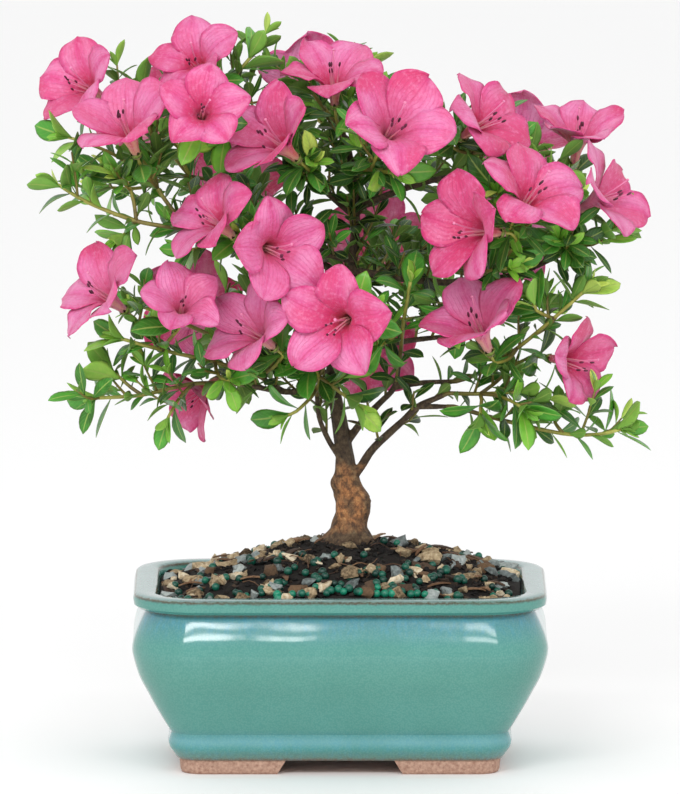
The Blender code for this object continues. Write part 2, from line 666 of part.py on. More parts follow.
def flower_frame(flower):
    """Matrix from a flower's own frame, with +Z out of its mouth and the origin at its calyx."""
    _, mouth, azimuth, tilt, roll, size = flower
    axis = heading(azimuth, tilt)
    base = Vector(mouth) - axis * BLOOM_DEPTH * size
    facing = axis.to_track_quat("Z", "Y").to_matrix().to_4x4()
    turn = Matrix.Rotation(math.radians(roll), 4, "Z")
    return Matrix.Translation(base) @ facing @ turn @ Matrix.Scale(size, 4)


def lobe_half_width(q):
    """Half width of a petal lobe at a share q of the way from the notch to the tip."""
    start, widest = 2.9, 0.55
    if q < widest:
        return start + (LOBE_HALF_WIDTH - start) * math.sin(math.pi / 2 * q / widest)
    return LOBE_HALF_WIDTH * (1 - ((q - widest) / (1 - widest)) ** 2.2) ** 0.6


def petal_point(lobe, s, t, wave):
    """A place on the flower: s from calyx 0 to petal tip 1, t across the lobe from -1 to 1."""
    middle = math.tau * lobe / LOBES
    height = 22.0 * math.sin(math.pi / 2 * s * (1.0 + 0.06 * wave[0]))
    radius = TUBE_RADIUS + (MOUTH_RADIUS - TUBE_RADIUS) * (1 + 0.05 * wave[1]) * s ** 2.2
    if s <= TUBE_SHARE + 1e-6:
        angle = middle + t * math.pi / LOBES
        return Vector((radius * math.cos(angle), radius * math.sin(angle), height))
    q = (s - TUBE_SHARE) / (1 - TUBE_SHARE)
    room = 0.93 * radius * math.tan(math.pi / LOBES) + 0.2
    across = min(lobe_half_width(q), room) * t
    radius -= 0.75 * abs(t) * (1 - q)
    height += 1.5 * q * wave[2] * t * t - 0.7 * q * (1 - abs(t))
    return Vector((radius * math.cos(middle) - across * math.sin(middle),
                   radius * math.sin(middle) + across * math.cos(middle), height))


def flower_surface(index):
    """The open funnel of five joined petals in the flower's own frame, and its rim from lobe to lobe."""
    rng = random.Random(f"flower-{index}")
    waves = [[rng.uniform(-1, 1) for _ in range(3)] for _ in range(LOBES)]
    calm = (0.0, 0.0, 0.0)
    points = [petal_point(lobe, 0.0, 0.0, calm) for lobe in range(LOBES)]
    for lobe in range(LOBES):
        points += [petal_point(lobe, TUBE_SHARE, -1.0, calm), petal_point(lobe, TUBE_SHARE, 0.0, calm)]
    faces, rim = [], []
    for lobe in range(LOBES):
        notch, middle = LOBES + 2 * lobe, LOBES + 2 * lobe + 1
        after = LOBES + (2 * lobe + 2) % (2 * LOBES)
        foot, next_foot = lobe, (lobe + 1) % LOBES
        faces += [(foot, middle, notch), (foot, after, middle), (foot, next_foot, after)]
        left = len(points)
        points += [petal_point(lobe, PETAL_WIDEST, t, waves[lobe]) for t in (-1, 0, 1)]
        points.append(petal_point(lobe, 1.0, 0.0, waves[lobe]))
        centre, right, tip = left + 1, left + 2, left + 3
        faces += [(notch, middle, centre), (notch, centre, left), (middle, after, right),
                  (middle, right, centre), (left, centre, tip), (centre, right, tip)]
        rim += [notch, left, tip, right]
    return points, faces, rim


def flower_solid(index):
    """The funnel given its thickness, closed under the calyx end, with the long style up its throat."""
    points, faces, rim = flower_surface(index)
    normals = [Vector() for _ in points]
    for a, b, c in faces:
        normal = (points[b] - points[a]).cross(points[c] - points[a])
        for corner in (a, b, c):
            normals[corner] += normal
    shift = [normal.normalized() * PETAL_THICKNESS / 2 for normal in normals]
    count = len(points)
    solid = [p + n for p, n in zip(points, shift)] + [p - n for p, n in zip(points, shift)]
    shell = [*faces, *(tuple(corner + count for corner in reversed(face)) for face in faces)]
    for start, end in zip(rim, rim[1:] + rim[:1]):
        shell += [(end, start, start + count), (end, start + count, end + count)]
    inside, outside = (0, count) if solid[0].xy.length < solid[count].xy.length else (count, 0)
    style_tip = len(solid)
    solid.append(Vector(STYLE_TIP))
    for lobe in range(LOBES):
        after = (lobe + 1) % LOBES
        shell.append((inside + lobe, inside + after, style_tip))
    shell.append(tuple(outside + lobe for lobe in reversed(range(LOBES))))
    return solid, shell


def build_flower(index, flower, parts, finish):
    """One flower: a thin corolla of five petals with its style standing out of the throat."""
    name = f"flower_{index + 1:02d}"
    bloom = link_mesh(name, mesh_of(name, *flower_solid(index)), parts, finish)
    bm = bmesh.new()
    bm.from_mesh(bloom.data)
    bmesh.ops.recalc_face_normals(bm, faces=bm.faces)
    bm.to_mesh(bloom.data)
    bm.free()
    bloom.data.transform(flower_frame(flower))
    return bloom


def leaf_corners(out, axis, lean, length, grow=0.0, near=0.0):
    """Corners of a blade about its root: folded up along the rib, widest past its middle, bowed at the tip.

    Grow widens it all round, and near is how far from the root its stem end lies.
    """
    along = axis * math.cos(lean) + out * math.sin(lean)
    normal = (axis - along * axis.dot(along)).normalized()
    side = normal.cross(along)
    half = LEAF_HALF_WIDTH * length + grow
    middle = along * length * LEAF_WIDEST
    corners = {}
    for level, lift in (("T", LEAF_THICKNESS / 2 + grow), ("B", -LEAF_THICKNESS / 2 - grow)):
        edge = normal * (LEAF_FOLD * length + lift)
        corners[level + "L"] = middle - side * half + edge
        corners[level + "M"] = middle + normal * lift
        corners[level + "R"] = middle + side * half + edge
        corners[level + "T"] = along * (length + grow) + normal * (lift - LEAF_BOW * length)
    for corner, across, level in (("A", -1, -1), ("B", 1, -1), ("C", 1, 1), ("D", -1, 1)):
        reach = side * across * (0.16 * half + grow) + normal * level * (LEAF_THICKNESS / 2 + grow)
        corners[corner] = along * near + reach
    return corners


class Obstacles:
    """What a stem or a leaf has to keep clear of: solids kept under the name of their node."""

    def __init__(self):
        self.trees = {}

    def add(self, name, points, faces):
        self.trees.setdefault(name, []).append(BVHTree.FromPolygons(points, faces))

    def hit_by(self, points, faces, own=()):
        tree = BVHTree.FromPolygons(points, faces)
        return [name for name, others in self.trees.items()
                if name not in own and any(tree.overlap(other) for other in others)]


def clear_blade(tag, root, out, axis, lean, length, obstacles, own, taken):
    """The corners of a blade that keeps clear of everything round it: bent and shortened until it does."""
    rng = random.Random(tag)
    if rng.random() < FALLEN_SHARE:
        return None
    lean += rng.uniform(-0.18, 0.18)
    length *= rng.uniform(*LEAF_LENGTHS)
    for attempt in range(LEAF_ATTEMPTS):
        tried = lean + (0.0, 0.3, -0.3, 0.15, -0.15, 0.45)[attempt]
        reach = length * (1 - 0.07 * attempt)
        turned = Matrix.Rotation(rng.uniform(-0.35, 0.35), 3, axis) @ out
        room = leaf_corners(turned, axis, tried, reach, CLEARANCE)
        keys = list(room)
        faces = [tuple(keys.index(corner) for corner in face) for face in LEAF_FACES]
        around = [root + room[key] for key in keys]
        if obstacles.hit_by(around, faces, (own,)):
            continue
        outer = leaf_corners(turned, axis, tried, reach, CLEARANCE, 0.22 * reach)
        points = [root + outer[key] for key in keys]
        if any_overlap(points, faces, taken):
            continue
        taken.append(BVHTree.FromPolygons(points, faces))
        obstacles.add(own, around, faces)
        blade = leaf_corners(turned, axis, tried, reach)
        return {key: root + blade[key] for key in keys if key not in "ABCD"}
    return None


def any_overlap(points, faces, trees):
    tree = BVHTree.FromPolygons(points, faces)
    return any(tree.overlap(other) for other in trees)


def side_shoots(green, end, arriving):
    """Curved stems from places on a shoot's own line to a given end, the plainest first."""
    arriving = arriving.normalized()
    last = end
    end = last - arriving * STRAIGHT_END
    goal = end - arriving * 10
    starts = sorted(range(max(1, len(green) - 1)), key=lambda i: (green[i] - goal).length)[:3]
    bows = ((0, 0, 0), (0, -6, 0), (0, 6, 0), (6, 0, 0), (-6, 0, 0), (0, 0, -6), (0, 0, 6))
    for bow in map(Vector, bows):
        for i in starts:
            start = green[i]
            reach = (end - start).length
            along = (green[i + 1] - start).normalized()
            toward = (end - start).normalized()
            first = start + (along + toward).normalized() * reach * 0.25 + bow
            second = end - arriving * reach * 0.4 + bow
            steps = 2 if reach < 22 else 3
            path = []
            for step in range(steps + 1):
                t = step / steps
                path.append(start * (1 - t) ** 3 + first * 3 * t * (1 - t) ** 2
                            + second * 3 * t * t * (1 - t) + end * t ** 3)
            yield [*path, last]


def clear_path(paths, obstacles, own):
    """The first path whose stem keeps clear of the other nodes."""
    for path in paths:
        points, faces = tube_solid(path, STEM_RADIUS + CLEARANCE, STEM_RADIUS + CLEARANCE, 4)
        if not obstacles.hit_by(points, faces, own):
            return path
    return None


def main_stem(name, obstacles):
    """A shoot's own line, seated on the cut end of its wood."""
    _, green = shoot_paths(name)
    obstacles.add("shoot_" + name, *tube_solid(green, STEM_RADIUS, STEM_RADIUS, 4))
    return [(f"{name}-main", green, STEM_RADIUS, MAIN_BANDS)]


def side_stems(name, green, obstacles):
    """The side stems of a shoot: those to its flowers, then those that end in leaves alone."""
    own = "shoot_" + name
    wanted = []
    for i, flower in enumerate(FLOWERS):
        if flower[0] == name:
            axis = heading(flower[2], flower[3])
            calyx = flower_frame(flower).translation - axis * (SEAT_GAP + PETAL_THICKNESS / 2 * flower[5])
            wanted.append((f"{name}-flower-{i}", calyx, axis, FLOWER_BANDS, f"flower_{i + 1:02d}"))
    for i, (spot, direction) in enumerate(SHOOTS[name][4]):
        wanted.append((f"{name}-tip-{i}", Vector(spot), Vector(direction), TIP_BANDS, own))
    stems = []
    for tag, end, direction, bands, carried in wanted:
        path = clear_path(side_shoots(green, end, direction), obstacles, (own, carried))
        if path is not None:
            obstacles.add(own, *tube_solid(path, SIDE_STEM_RADIUS, SIDE_STEM_RADIUS, 4))
            stems.append((tag, path, SIDE_STEM_RADIUS, bands))
    return stems


def stem_levels(lengths, bands):
    """Where a stem has rings, as (distance, the leafy band that opens there or None)."""
    end = lengths[-1]
    opening = {end - back - LEAF_BAND: (lean, share) for back, lean, share in bands if end - back > 3.5}
    levels = [(at, band) for at, band in opening.items()]
    levels += [(at + LEAF_BAND, None) for at in opening]
    levels += [(at, None) for at in lengths
               if all(abs(at - start - LEAF_BAND / 2) > 1.3 for start in opening)]
    if all(at != end for at, _ in levels):
        levels.append((end, None))
    return sorted(levels, key=lambda level: level[0])


def point_along(path, lengths, at):
    for i in range(1, len(path)):
        if lengths[i] >= at - 1e-6:
            share = (at - lengths[i - 1]) / (lengths[i] - lengths[i - 1])
            return path[i - 1].lerp(path[i], share), (path[i] - path[i - 1]).normalized()


def leafy_stem(tag, path, radius, bands, obstacles, own, taken):
    """One solid: a three-sided stem whose blades grow out of its faces in short bands."""
    lengths = path_lengths(path)
    levels = stem_levels(lengths, bands)
    turn = random.Random(tag).uniform(0, math.tau)
    across = (path[1] - path[0]).orthogonal().normalized()
    points, frames = [], []
    for at, band in levels:
        place, along = point_along(path, lengths, at)
        across = (across - along * across.dot(along)).normalized()
        other = along.cross(across)
        if band:
            turn += math.pi / 3
        frames.append((along, across, other, turn))
        for side in range(3):
            angle = turn + math.tau * side / 3
            points.append(place + (across * math.cos(angle) + other * math.sin(angle)) * radius)
    faces = [(2, 1, 0), tuple(range(len(points) - 3, len(points)))]
    for i in range(1, len(levels)):
        band = levels[i - 1][1]
        along, across, other, turn = frames[i - 1]
        for side in range(3):
            low, after = 3 * (i - 1) + side, 3 * (i - 1) + (side + 1) % 3
            corners = {"A": low, "B": after, "C": after + 3, "D": low + 3}
            blade = None
            if band:
                angle = turn + math.tau * (side + 0.5) / 3
                out = across * math.cos(angle) + other * math.sin(angle)
                root = sum((points[corner] for corner in corners.values()), Vector()) / 4
                blade = clear_blade(f"{tag}-{i}-{side}", root, out, along, *band, obstacles, own, taken)
            if blade is None:
                faces += [tuple(corners[corner] for corner in face) for face in ("ABD", "BCD")]
                continue
            for key, place in blade.items():
                corners[key] = len(points)
                points.append(place)
            faces += [tuple(corners[corner] for corner in face) for face in LEAF_FACES]
    return points, faces


def build_shoot(name, stems, parts, finish, obstacles):
    """One leafy shoot: its stems, each with its blades, joined in one body."""
    own = "shoot_" + name
    taken = [BVHTree.FromPolygons(*tube_solid(path, radius, radius, 3)) for _, path, radius, _ in stems]
    pieces = []
    for tag, path, radius, bands in stems:
        points, faces = leafy_stem(tag, path, radius, bands, obstacles, own, taken)
        pieces.append(link_mesh(tag, mesh_of(tag, points, faces), parts))
    shoot, *others = pieces
    shoot.name = own
    shoot.data.materials.append(finish)
    if others:
        join_all(shoot, others)
    to_metres(shoot)


def main():
    clear_scene()
    parts = new_collection("azalea_bonsai")
    glaze = material("celadon_glaze", (0.13, 0.42, 0.36), 0.15)
    plastic = material("black_mesh", (0.02, 0.02, 0.02), 0.5)
    mix = material("potting_mix", (0.09, 0.07, 0.05), 0.95)
    bark = material("bark", (0.16, 0.09, 0.05), 0.85)
    green = material("leaf", (0.09, 0.27, 0.04), 0.45)
    pink = material("petal", (0.85, 0.12, 0.32), 0.5)

    build_pot(parts, glaze)
    build_screen("drain_screen_left", -DRAIN_OFFSET, parts, plastic)
    build_screen("drain_screen_right", DRAIN_OFFSET, parts, plastic)
    hole, *hole_roots = trunk_pieces("trunk_hole", SEAT_GAP, parts)
    join_all(hole, hole_roots)
    build_soil(parts, mix, hole)
    trunk = build_trunk(parts, bark)

    obstacles = Obstacles()
    obstacles.add("trunk", [vert.co / MM for vert in trunk.data.vertices],
                  [p.vertices for p in trunk.data.polygons])
    for index, flower in enumerate(FLOWERS):
        bloom = build_flower(index, flower, parts, pink)
        obstacles.add(bloom.name, [vert.co.copy() for vert in bloom.data.vertices],
                      [p.vertices for p in bloom.data.polygons])
        to_metres(bloom)

    stems = {name: main_stem(name, obstacles) for name in SHOOTS}
    for name in SHOOTS:
        stems[name] += side_stems(name, stems[name][0][1], obstacles)
    for name in SHOOTS:
        build_shoot(name, stems[name], parts, green, obstacles)


main()
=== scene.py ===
"""Azalea bonsai in a glazed stoneware pot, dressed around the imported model.

Lengths are worked out in millimetres and turned to metres when a mesh is made. +X is the viewer's right,
-Y the front and +Z up, and the origin is on the table under the middle of the pot.
"""

import math
import random

import bmesh
import bpy
from mathutils import Matrix, Vector, noise
from mathutils.bvhtree import BVHTree


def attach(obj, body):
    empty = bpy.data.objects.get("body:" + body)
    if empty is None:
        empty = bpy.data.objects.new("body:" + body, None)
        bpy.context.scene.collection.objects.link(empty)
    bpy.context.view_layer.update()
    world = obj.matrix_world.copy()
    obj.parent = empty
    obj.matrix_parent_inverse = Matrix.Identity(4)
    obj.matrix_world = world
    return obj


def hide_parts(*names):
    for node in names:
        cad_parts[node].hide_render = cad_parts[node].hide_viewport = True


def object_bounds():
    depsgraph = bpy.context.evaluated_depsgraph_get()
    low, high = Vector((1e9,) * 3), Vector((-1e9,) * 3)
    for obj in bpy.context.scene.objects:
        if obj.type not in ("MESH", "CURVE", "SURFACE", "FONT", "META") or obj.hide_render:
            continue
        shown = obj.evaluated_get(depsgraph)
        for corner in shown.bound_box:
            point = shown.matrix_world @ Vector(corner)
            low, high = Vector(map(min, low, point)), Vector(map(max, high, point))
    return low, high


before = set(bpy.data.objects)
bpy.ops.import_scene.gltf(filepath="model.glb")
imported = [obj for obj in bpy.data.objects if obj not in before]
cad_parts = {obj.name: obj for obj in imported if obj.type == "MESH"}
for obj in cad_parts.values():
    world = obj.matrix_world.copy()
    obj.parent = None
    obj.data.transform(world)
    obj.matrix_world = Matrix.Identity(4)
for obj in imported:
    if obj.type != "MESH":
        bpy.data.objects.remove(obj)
model_box = [list(corner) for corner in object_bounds()]

# Pot
# Slip-cast stoneware: a bellied body with a rolled lip, a bead round its base and four corner feet.
# It was dipped in a thick celadon glaze down to the feet, which were wiped bare to stand in the kiln.
MM = 0.001
POT_HALF_LENGTH = 80.0
POT_HALF_WIDTH = 60.0
POT_CORNER = 27.0
POT_HEIGHT = 70.0
POT_FOOT = 5.6
POT_FLOOR_TOP = 11.2
FOOT_LEVELS = ((0.0, 19.6), (0.4, 19.0), (1.4, 18.6), (5.4, 18.2), (POT_FOOT, 17.6))
BEAD_LEVELS = ((5.7, 17.4), (8.3, 15.6), (9.8, 14.5), (12.6, 13.9), (14.8, 14.7), (15.9, 15.0))
BELLY_LEVELS = (
    (16.4, 14.7), (20.0, 12.4), (25.5, 9.1), (31.0, 6.1), (37.0, 2.9), (43.0, 0.9), (48.0, 0.0), (53.0, 1.0),
    (58.0, 2.9), (62.0, 4.7), (63.3, 5.4),
)
LIP_LEVELS = ((63.8, 4.4), (64.2, 2.2), (65.4, 0.7), (67.6, 0.4), (69.1, 0.9), (69.8, 2.0), (POT_HEIGHT, 3.4))
INNER_LEVELS = (
    (POT_HEIGHT, 7.8), (69.7, 8.9), (68.8, 9.7), (66.0, 10.4), (56.0, 8.8), (46.0, 6.4), (32.0, 12.0),
    (15.0, 20.5), (POT_FLOOR_TOP, 24.0),
)
FOOT_SLANT = 4.0
FOOT_RECESS = (96.8, 56.8)
FOOT_GAPS = ((20.8, 0.0), (11.8, 90.0))
DRAIN_RADIUS = 6.0
DRAIN_OFFSET = 30.0
QUARTERS = ((1, 1), (-1, 1), (-1, -1), (1, -1))
WALL_STEP = 1.6
WALL_WOBBLE = 0.18
WOBBLE_SPAN = (21.0, 21.0, 13.0)
WOBBLE_FOOT = 16.0
GAP_REACH = 95.0
DRAIN_SIDES = 32
POT_CREASE = 38.0


def linear(code):
    """The linear colour of an sRGB hex value."""
    parts = [int(code[i:i + 2], 16) / 255 for i in (1, 3, 5)]
    return (*[c / 12.92 if c <= 0.04045 else ((c + 0.055) / 1.055) ** 2.4 for c in parts], 1.0)


def add(tree, kind, links=None, stops=None, **settings):
    """Adds a shader node and returns its first output in use; links are values, hex colours or sockets."""
    made = tree.nodes.new("ShaderNode" + kind)
    for name, value in settings.items():
        setattr(made, name, value)
    for key, value in (links or {}).items():
        if isinstance(value, bpy.types.NodeSocket):
            tree.links.new(value, made.inputs[key])
        else:
            made.inputs[key].default_value = linear(value) if isinstance(value, str) else value
    if stops:
        ramp = made.color_ramp.elements
        while len(ramp) < len(stops):
            ramp.new(1.0)
        for element, (place, code) in zip(ramp, stops):
            element.position = place
            element.color = linear(code)
    return next(socket for socket in made.outputs if socket.enabled)


def new_finish(name, **constants):
    """A material with constants on its shader, its tree, and the socket of a point's place on the piece."""
    made = bpy.data.materials.new(name)
    made.use_nodes = True
    for key, value in constants.items():
        made.node_tree.nodes["Principled BSDF"].inputs[key.replace("_", " ")].default_value = value
    return made, made.node_tree, add(made.node_tree, "TexCoord").node.outputs["Object"]


def marks_of(tree):
    """The three parts of the marks that the points of a build carry."""
    marks = add(tree, "Attribute", attribute_name="marks").node.outputs["Vector"]
    return add(tree, "SeparateXYZ", {0: marks}).node.outputs


def laid_over(tree, colour, *layers):
    """Colours laid over a first one: each is a colour, its strength, and the bands that it keeps to.

    A band is a source, the value on it where the colour begins to come in, and the one where it is full.
    """
    for tint, share, *bands in layers:
        for source, begins, full in bands:
            band = add(tree, "MapRange", {0: source, 1: begins, 2: full})
            share = add(tree, "Math", {0: band, 1: share}, operation="MULTIPLY")
        colour = add(tree, "Mix", {"Factor": share, 6: colour, 7: tint}, data_type="RGBA")
    return colour


def wear(tree, colour, relief=None, strength=0.0, depth=0.0, **settings):
    """Gives a finish's shader its colour and, where there is one, a relief of a depth in millimetres."""
    shader = tree.nodes["Principled BSDF"]
    tree.links.new(colour, shader.inputs["Base Color"])
    if relief:
        bump = add(tree, "Bump", {"Height": relief, "Strength": strength, "Distance": depth * MM}, **settings)
        tree.links.new(bump, shader.inputs["Normal"])


class Build:
    """Points, faces, finishes and marks of a mesh that is put together part by part, in millimetres."""

    def __init__(self):
        self.points, self.faces, self.finishes, self.marks = [], [], [], []

    def add(self, points, faces, finish=0, marks=(0.0, 0.0, 0.0)):
        """Takes in a part of one finish, with one mark for all its points or a list of them."""
        first = len(self.points)
        self.points += points
        self.faces += [tuple(first + corner for corner in face) for face in faces]
        self.finishes += [finish] * len(faces)
        self.marks += marks if isinstance(marks, list) else [marks] * len(points)


def show(name, build, finishes, slot, *nodes, smooth=True):
    """A build as a piece of the object, riding on its one body and standing for the nodes."""
    mesh = bpy.data.meshes.new(name)
    mesh.from_pydata([tuple(Vector(p) * MM) for p in build.points], [], build.faces)
    mesh.polygons.foreach_set("material_index", build.finishes)
    mesh.polygons.foreach_set("use_smooth", [smooth] * len(build.faces))
    marks = mesh.attributes.new("marks", "FLOAT_VECTOR", "POINT")
    marks.data.foreach_set("vector", [part for mark in build.marks for part in mark])
    mesh.update()
    piece = bpy.data.objects.new(name, mesh)
    bpy.context.scene.collection.objects.link(piece)
    for finish in finishes:
        mesh.materials.append(finish)
    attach(piece, "root")
    if nodes:
        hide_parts(*nodes)
    return piece


def smooth_path(points, step):
    """Points about a step apart on a Catmull-Rom curve through the given ones."""
    points = [Vector(p) for p in points]
    ends = [2 * points[0] - points[1], *points, 2 * points[-1] - points[-2]]
    path = [points[0]]
    for a, b, c, d in zip(ends, ends[1:], ends[2:], ends[3:]):
        count = max(1, round((c - b).length / step))
        for i in range(1, count + 1):
            t = i / count
            path.append(0.5 * (2 * b + (c - a) * t + (2 * a - 5 * b + 4 * c - d) * t * t
                               + (3 * b - a - 3 * c + d) * t ** 3))
    return path


def plan_outline(inset, corner_steps=12, long_steps=18, short_steps=11):
    """The pot's plan moved in by the inset: points anticlockwise, with steps along its sides too."""
    half_x, half_y = POT_HALF_LENGTH - inset, POT_HALF_WIDTH - inset
    radius = max(POT_CORNER - inset, 5.0)
    corners = []
    for corner, (sx, sy) in enumerate(QUARTERS):
        arc = []
        for step in range(corner_steps + 1):
            angle = math.radians(90 * corner + 90 * step / corner_steps)
            arc.append(Vector((sx * (half_x - radius) + radius * math.cos(angle),
                               sy * (half_y - radius) + radius * math.sin(angle))))
        corners.append(arc)
    points = []
    for corner, arc in enumerate(corners):
        after = corners[(corner + 1) % 4][0]
        steps = short_steps if corner % 2 else long_steps
        points += arc
        points += [arc[-1].lerp(after, step / steps) for step in range(1, steps)]
    return points


def loft(rings):
    """Points and faces of a closed solid through rings of as many points each, capped at both ends."""
    count = len(rings[0])
    points = [point for ring in rings for point in ring]
    faces = [tuple(reversed(range(count))), tuple(range(len(points) - count, len(points)))]
    for level in range(len(rings) - 1):
        low, high = level * count, (level + 1) * count
        for i in range(count):
            j = (i + 1) % count
            faces.append((low + i, low + j, high + j, high + i))
    return points, faces


def block(x, y, wide, deep, levels):
    """Rings of an upright block about a middle."""
    return [[(x + sx * wide / 2, y + sy * deep / 2, z) for sx, sy in QUARTERS] for z in levels]


def applied(piece):
    """The mesh that a piece's modifiers give, in place of its own."""
    bpy.context.view_layer.update()
    mesh = bpy.data.meshes.new_from_object(piece.evaluated_get(bpy.context.evaluated_depsgraph_get()))
    piece.modifiers.clear()
    piece.data = mesh


def cut(piece, points, faces):
    """Takes a closed solid, given in millimetres, out of a piece."""
    cutter_mesh = bpy.data.meshes.new("cutter")
    cutter_mesh.from_pydata([tuple(Vector(p) * MM) for p in points], [], faces)
    cutter = bpy.data.objects.new("cutter", cutter_mesh)
    bpy.context.scene.collection.objects.link(cutter)
    boolean = piece.modifiers.new("cut", "BOOLEAN")
    boolean.operation = "DIFFERENCE"
    boolean.object = cutter
    boolean.solver = "EXACT"
    applied(piece)
    bpy.data.objects.remove(cutter, do_unlink=True)


def finish_smoothly(piece, *finishes):
    """Gives a piece whose mesh was made by modifiers its finishes and smooth faces."""
    piece.data.materials.clear()
    for finish in finishes:
        piece.data.materials.append(finish)
    for face in piece.data.polygons:
        face.use_smooth = True


def celadon_glaze():
    """Thick glossy glaze: sea green, bluer where it ran and pooled, brown where it thinned over edges."""
    finish, tree, place = new_finish("celadon_glaze", Roughness=0.09, IOR=1.52)
    broken = add(tree, "TexNoise", {"Vector": place, "Scale": 700.0, "Detail": 3.0})
    drift = add(tree, "TexNoise", {"Vector": place, "Scale": 60.0, "Detail": 2.0})
    height = add(tree, "SeparateXYZ", {0: place}).node.outputs["Z"]
    shaken = add(tree, "Math", {0: broken, 1: -0.0011, 2: height}, operation="MULTIPLY_ADD")
    level = add(tree, "MapRange", {0: shaken, 1: -0.00055, 2: 0.06945})
    by_height = add(tree, "ValToRGB", {0: level}, stops=(
        (0.082, "#6b5340"), (0.100, "#5a7a72"), (0.150, "#468a88"), (0.190, "#5d959c"), (0.222, "#468588"),
        (0.260, "#4a8b83"), (0.560, "#4a887d"), (0.740, "#4a8981"), (0.830, "#478488"), (0.893, "#468390"),
        (0.911, "#6a5c47"), (0.921, "#43857a"), (0.974, "#48867d"), (0.984, "#43352a"), (0.989, "#54432f"),
        (0.994, "#7b9594"), (1.000, "#849c9c")))
    streaks = add(tree, "Mapping", {"Vector": place, "Scale": (620.0, 620.0, 110.0)})
    run = add(tree, "TexNoise", {"Vector": streaks, "Scale": 1.0, "Detail": 4.0})
    below_lip = add(tree, "MapRange", {0: height, 1: 0.0525, 2: 0.0610}, interpolation_type="SMOOTHSTEP")
    on_bead = add(tree, "MapRange", {0: height, 1: 0.0165, 2: 0.0120, 4: 0.45},
                  interpolation_type="SMOOTHSTEP")
    off_lip = add(tree, "MapRange", {0: height, 1: 0.0640, 2: 0.0628})
    under_lip = add(tree, "Math", {0: below_lip, 1: off_lip}, operation="MULTIPLY")
    pooled = add(tree, "Math", {0: under_lip, 1: on_bead}, operation="MAXIMUM")
    speckle = add(tree, "TexVoronoi", {"Vector": place, "Scale": 1400.0})
    colour = laid_over(tree, by_height, ("#4590ac", 0.42, (pooled, 0.0, 1.0), (run, 0.46, 0.66)),
                       ("#7fb0a0", 0.2, (speckle, 0.7, 0.2)), ("#3f7d70", 0.22, (drift, 0.35, 0.7)))
    wear(tree, colour, drift, 0.25, 0.3)
    return finish


def bare_clay():
    """Unglazed fired clay: matt and pinkish buff, with fine grog that darkens and lightens it in spots."""
    finish, tree, place = new_finish("bare_stoneware", Roughness=0.82, IOR=1.5)
    grog = add(tree, "TexNoise", {"Vector": place, "Scale": 900.0, "Detail": 5.0})
    stops = ((0.3, "#906b5a"), (0.5, "#a98674"), (0.72, "#bd9a86"))
    wear(tree, add(tree, "ValToRGB", {0: grog}, stops=stops), grog, 0.4, 0.3)
    return finish


pot_levels = [Vector((inset, 0.0, height)) for height, inset in FOOT_LEVELS]
for curve in (BEAD_LEVELS, BELLY_LEVELS, LIP_LEVELS, INNER_LEVELS):
    pot_levels += smooth_path([(inset, 0.0, height) for height, inset in curve], WALL_STEP)
pot_rings = []
for inset, _, height in pot_levels:
    ring = []
    for x, y in plan_outline(inset):
        spot = [value / span for value, span in zip((x, y, height), WOBBLE_SPAN)]
        wobble = WALL_WOBBLE * noise.noise(spot) if height > WOBBLE_FOOT else 0.0
        out = Vector((x, y)).normalized() * wobble
        ring.append((x + out.x, y + out.y, height))
    pot_rings.append(ring)
pot_build = Build()
pot_build.add(*loft(pot_rings))
pot = show("glazed_pot", pot_build, [], "glazed_stoneware", "pot")
for half_width, turn in FOOT_GAPS:
    low_half = half_width + FOOT_SLANT
    section = [(-low_half, -1.0), (low_half, -1.0), (half_width, POT_FOOT), (-half_width, POT_FOOT)]
    points, faces = loft([[(x, y, z) for x, z in section] for y in (GAP_REACH, -GAP_REACH)])
    spin = Matrix.Rotation(math.radians(turn), 3, "Z")
    cut(pot, [spin @ Vector(p) for p in points], faces)
cut(pot, *loft(block(0.0, 0.0, *FOOT_RECESS, (-1.0, POT_FOOT))))
circle = [Matrix.Rotation(math.tau * side / DRAIN_SIDES, 2) @ Vector((DRAIN_RADIUS, 0))
          for side in range(DRAIN_SIDES)]
for middle in (-DRAIN_OFFSET, DRAIN_OFFSET):
    cut(pot, *loft([[(middle + x, y, z) for x, y in circle] for z in (POT_FOOT - 2, POT_FLOOR_TOP + 2)]))
finish_smoothly(pot, celadon_glaze(), bare_clay())
for face in pot.data.polygons:
    face.material_index = int(face.center.z < (POT_FOOT + 0.03) * MM)
pot.data.set_sharp_from_angle(angle=math.radians(POT_CREASE))

# Drain screens
# Two squares of black moulded plastic netting that lie over the drain holes and hold the mix in.
SCREEN_SIDE = 22.0
SCREEN_THICKNESS = 0.9
SCREEN_LOW = POT_FLOOR_TOP + 0.3
SCREEN_CELLS = 9
STRAND = 0.8


def netting_plastic():
    """Black polypropylene: dull, slightly waxy, with the faint grain of the mould."""
    finish, tree, place = new_finish("black_netting", Roughness=0.5, IOR=1.49)
    grain = add(tree, "TexNoise", {"Vector": place, "Scale": 1500.0, "Detail": 2.0})
    wear(tree, add(tree, "ValToRGB", {0: grain}, stops=((0.35, "#141414"), (0.7, "#262625"))))
    return finish


netting = netting_plastic()
for side, x in (("left", -DRAIN_OFFSET), ("right", DRAIN_OFFSET)):
    screen_build = Build()
    for i in range(SCREEN_CELLS + 1):
        at = (SCREEN_SIDE - STRAND) * (i / SCREEN_CELLS - 0.5)
        for wide, deep, mid_x, mid_y in ((STRAND, SCREEN_SIDE, at, 0.0), (SCREEN_SIDE, STRAND, 0.0, at)):
            levels = (SCREEN_LOW, SCREEN_LOW + SCREEN_THICKNESS)
            screen_build.add(*loft(block(x + mid_x, mid_y, wide, deep, levels)))
    name = f"drain_screen_{side}"
    show(name + "_netting", screen_build, [netting], "mesh_plastic", name, smooth=False)

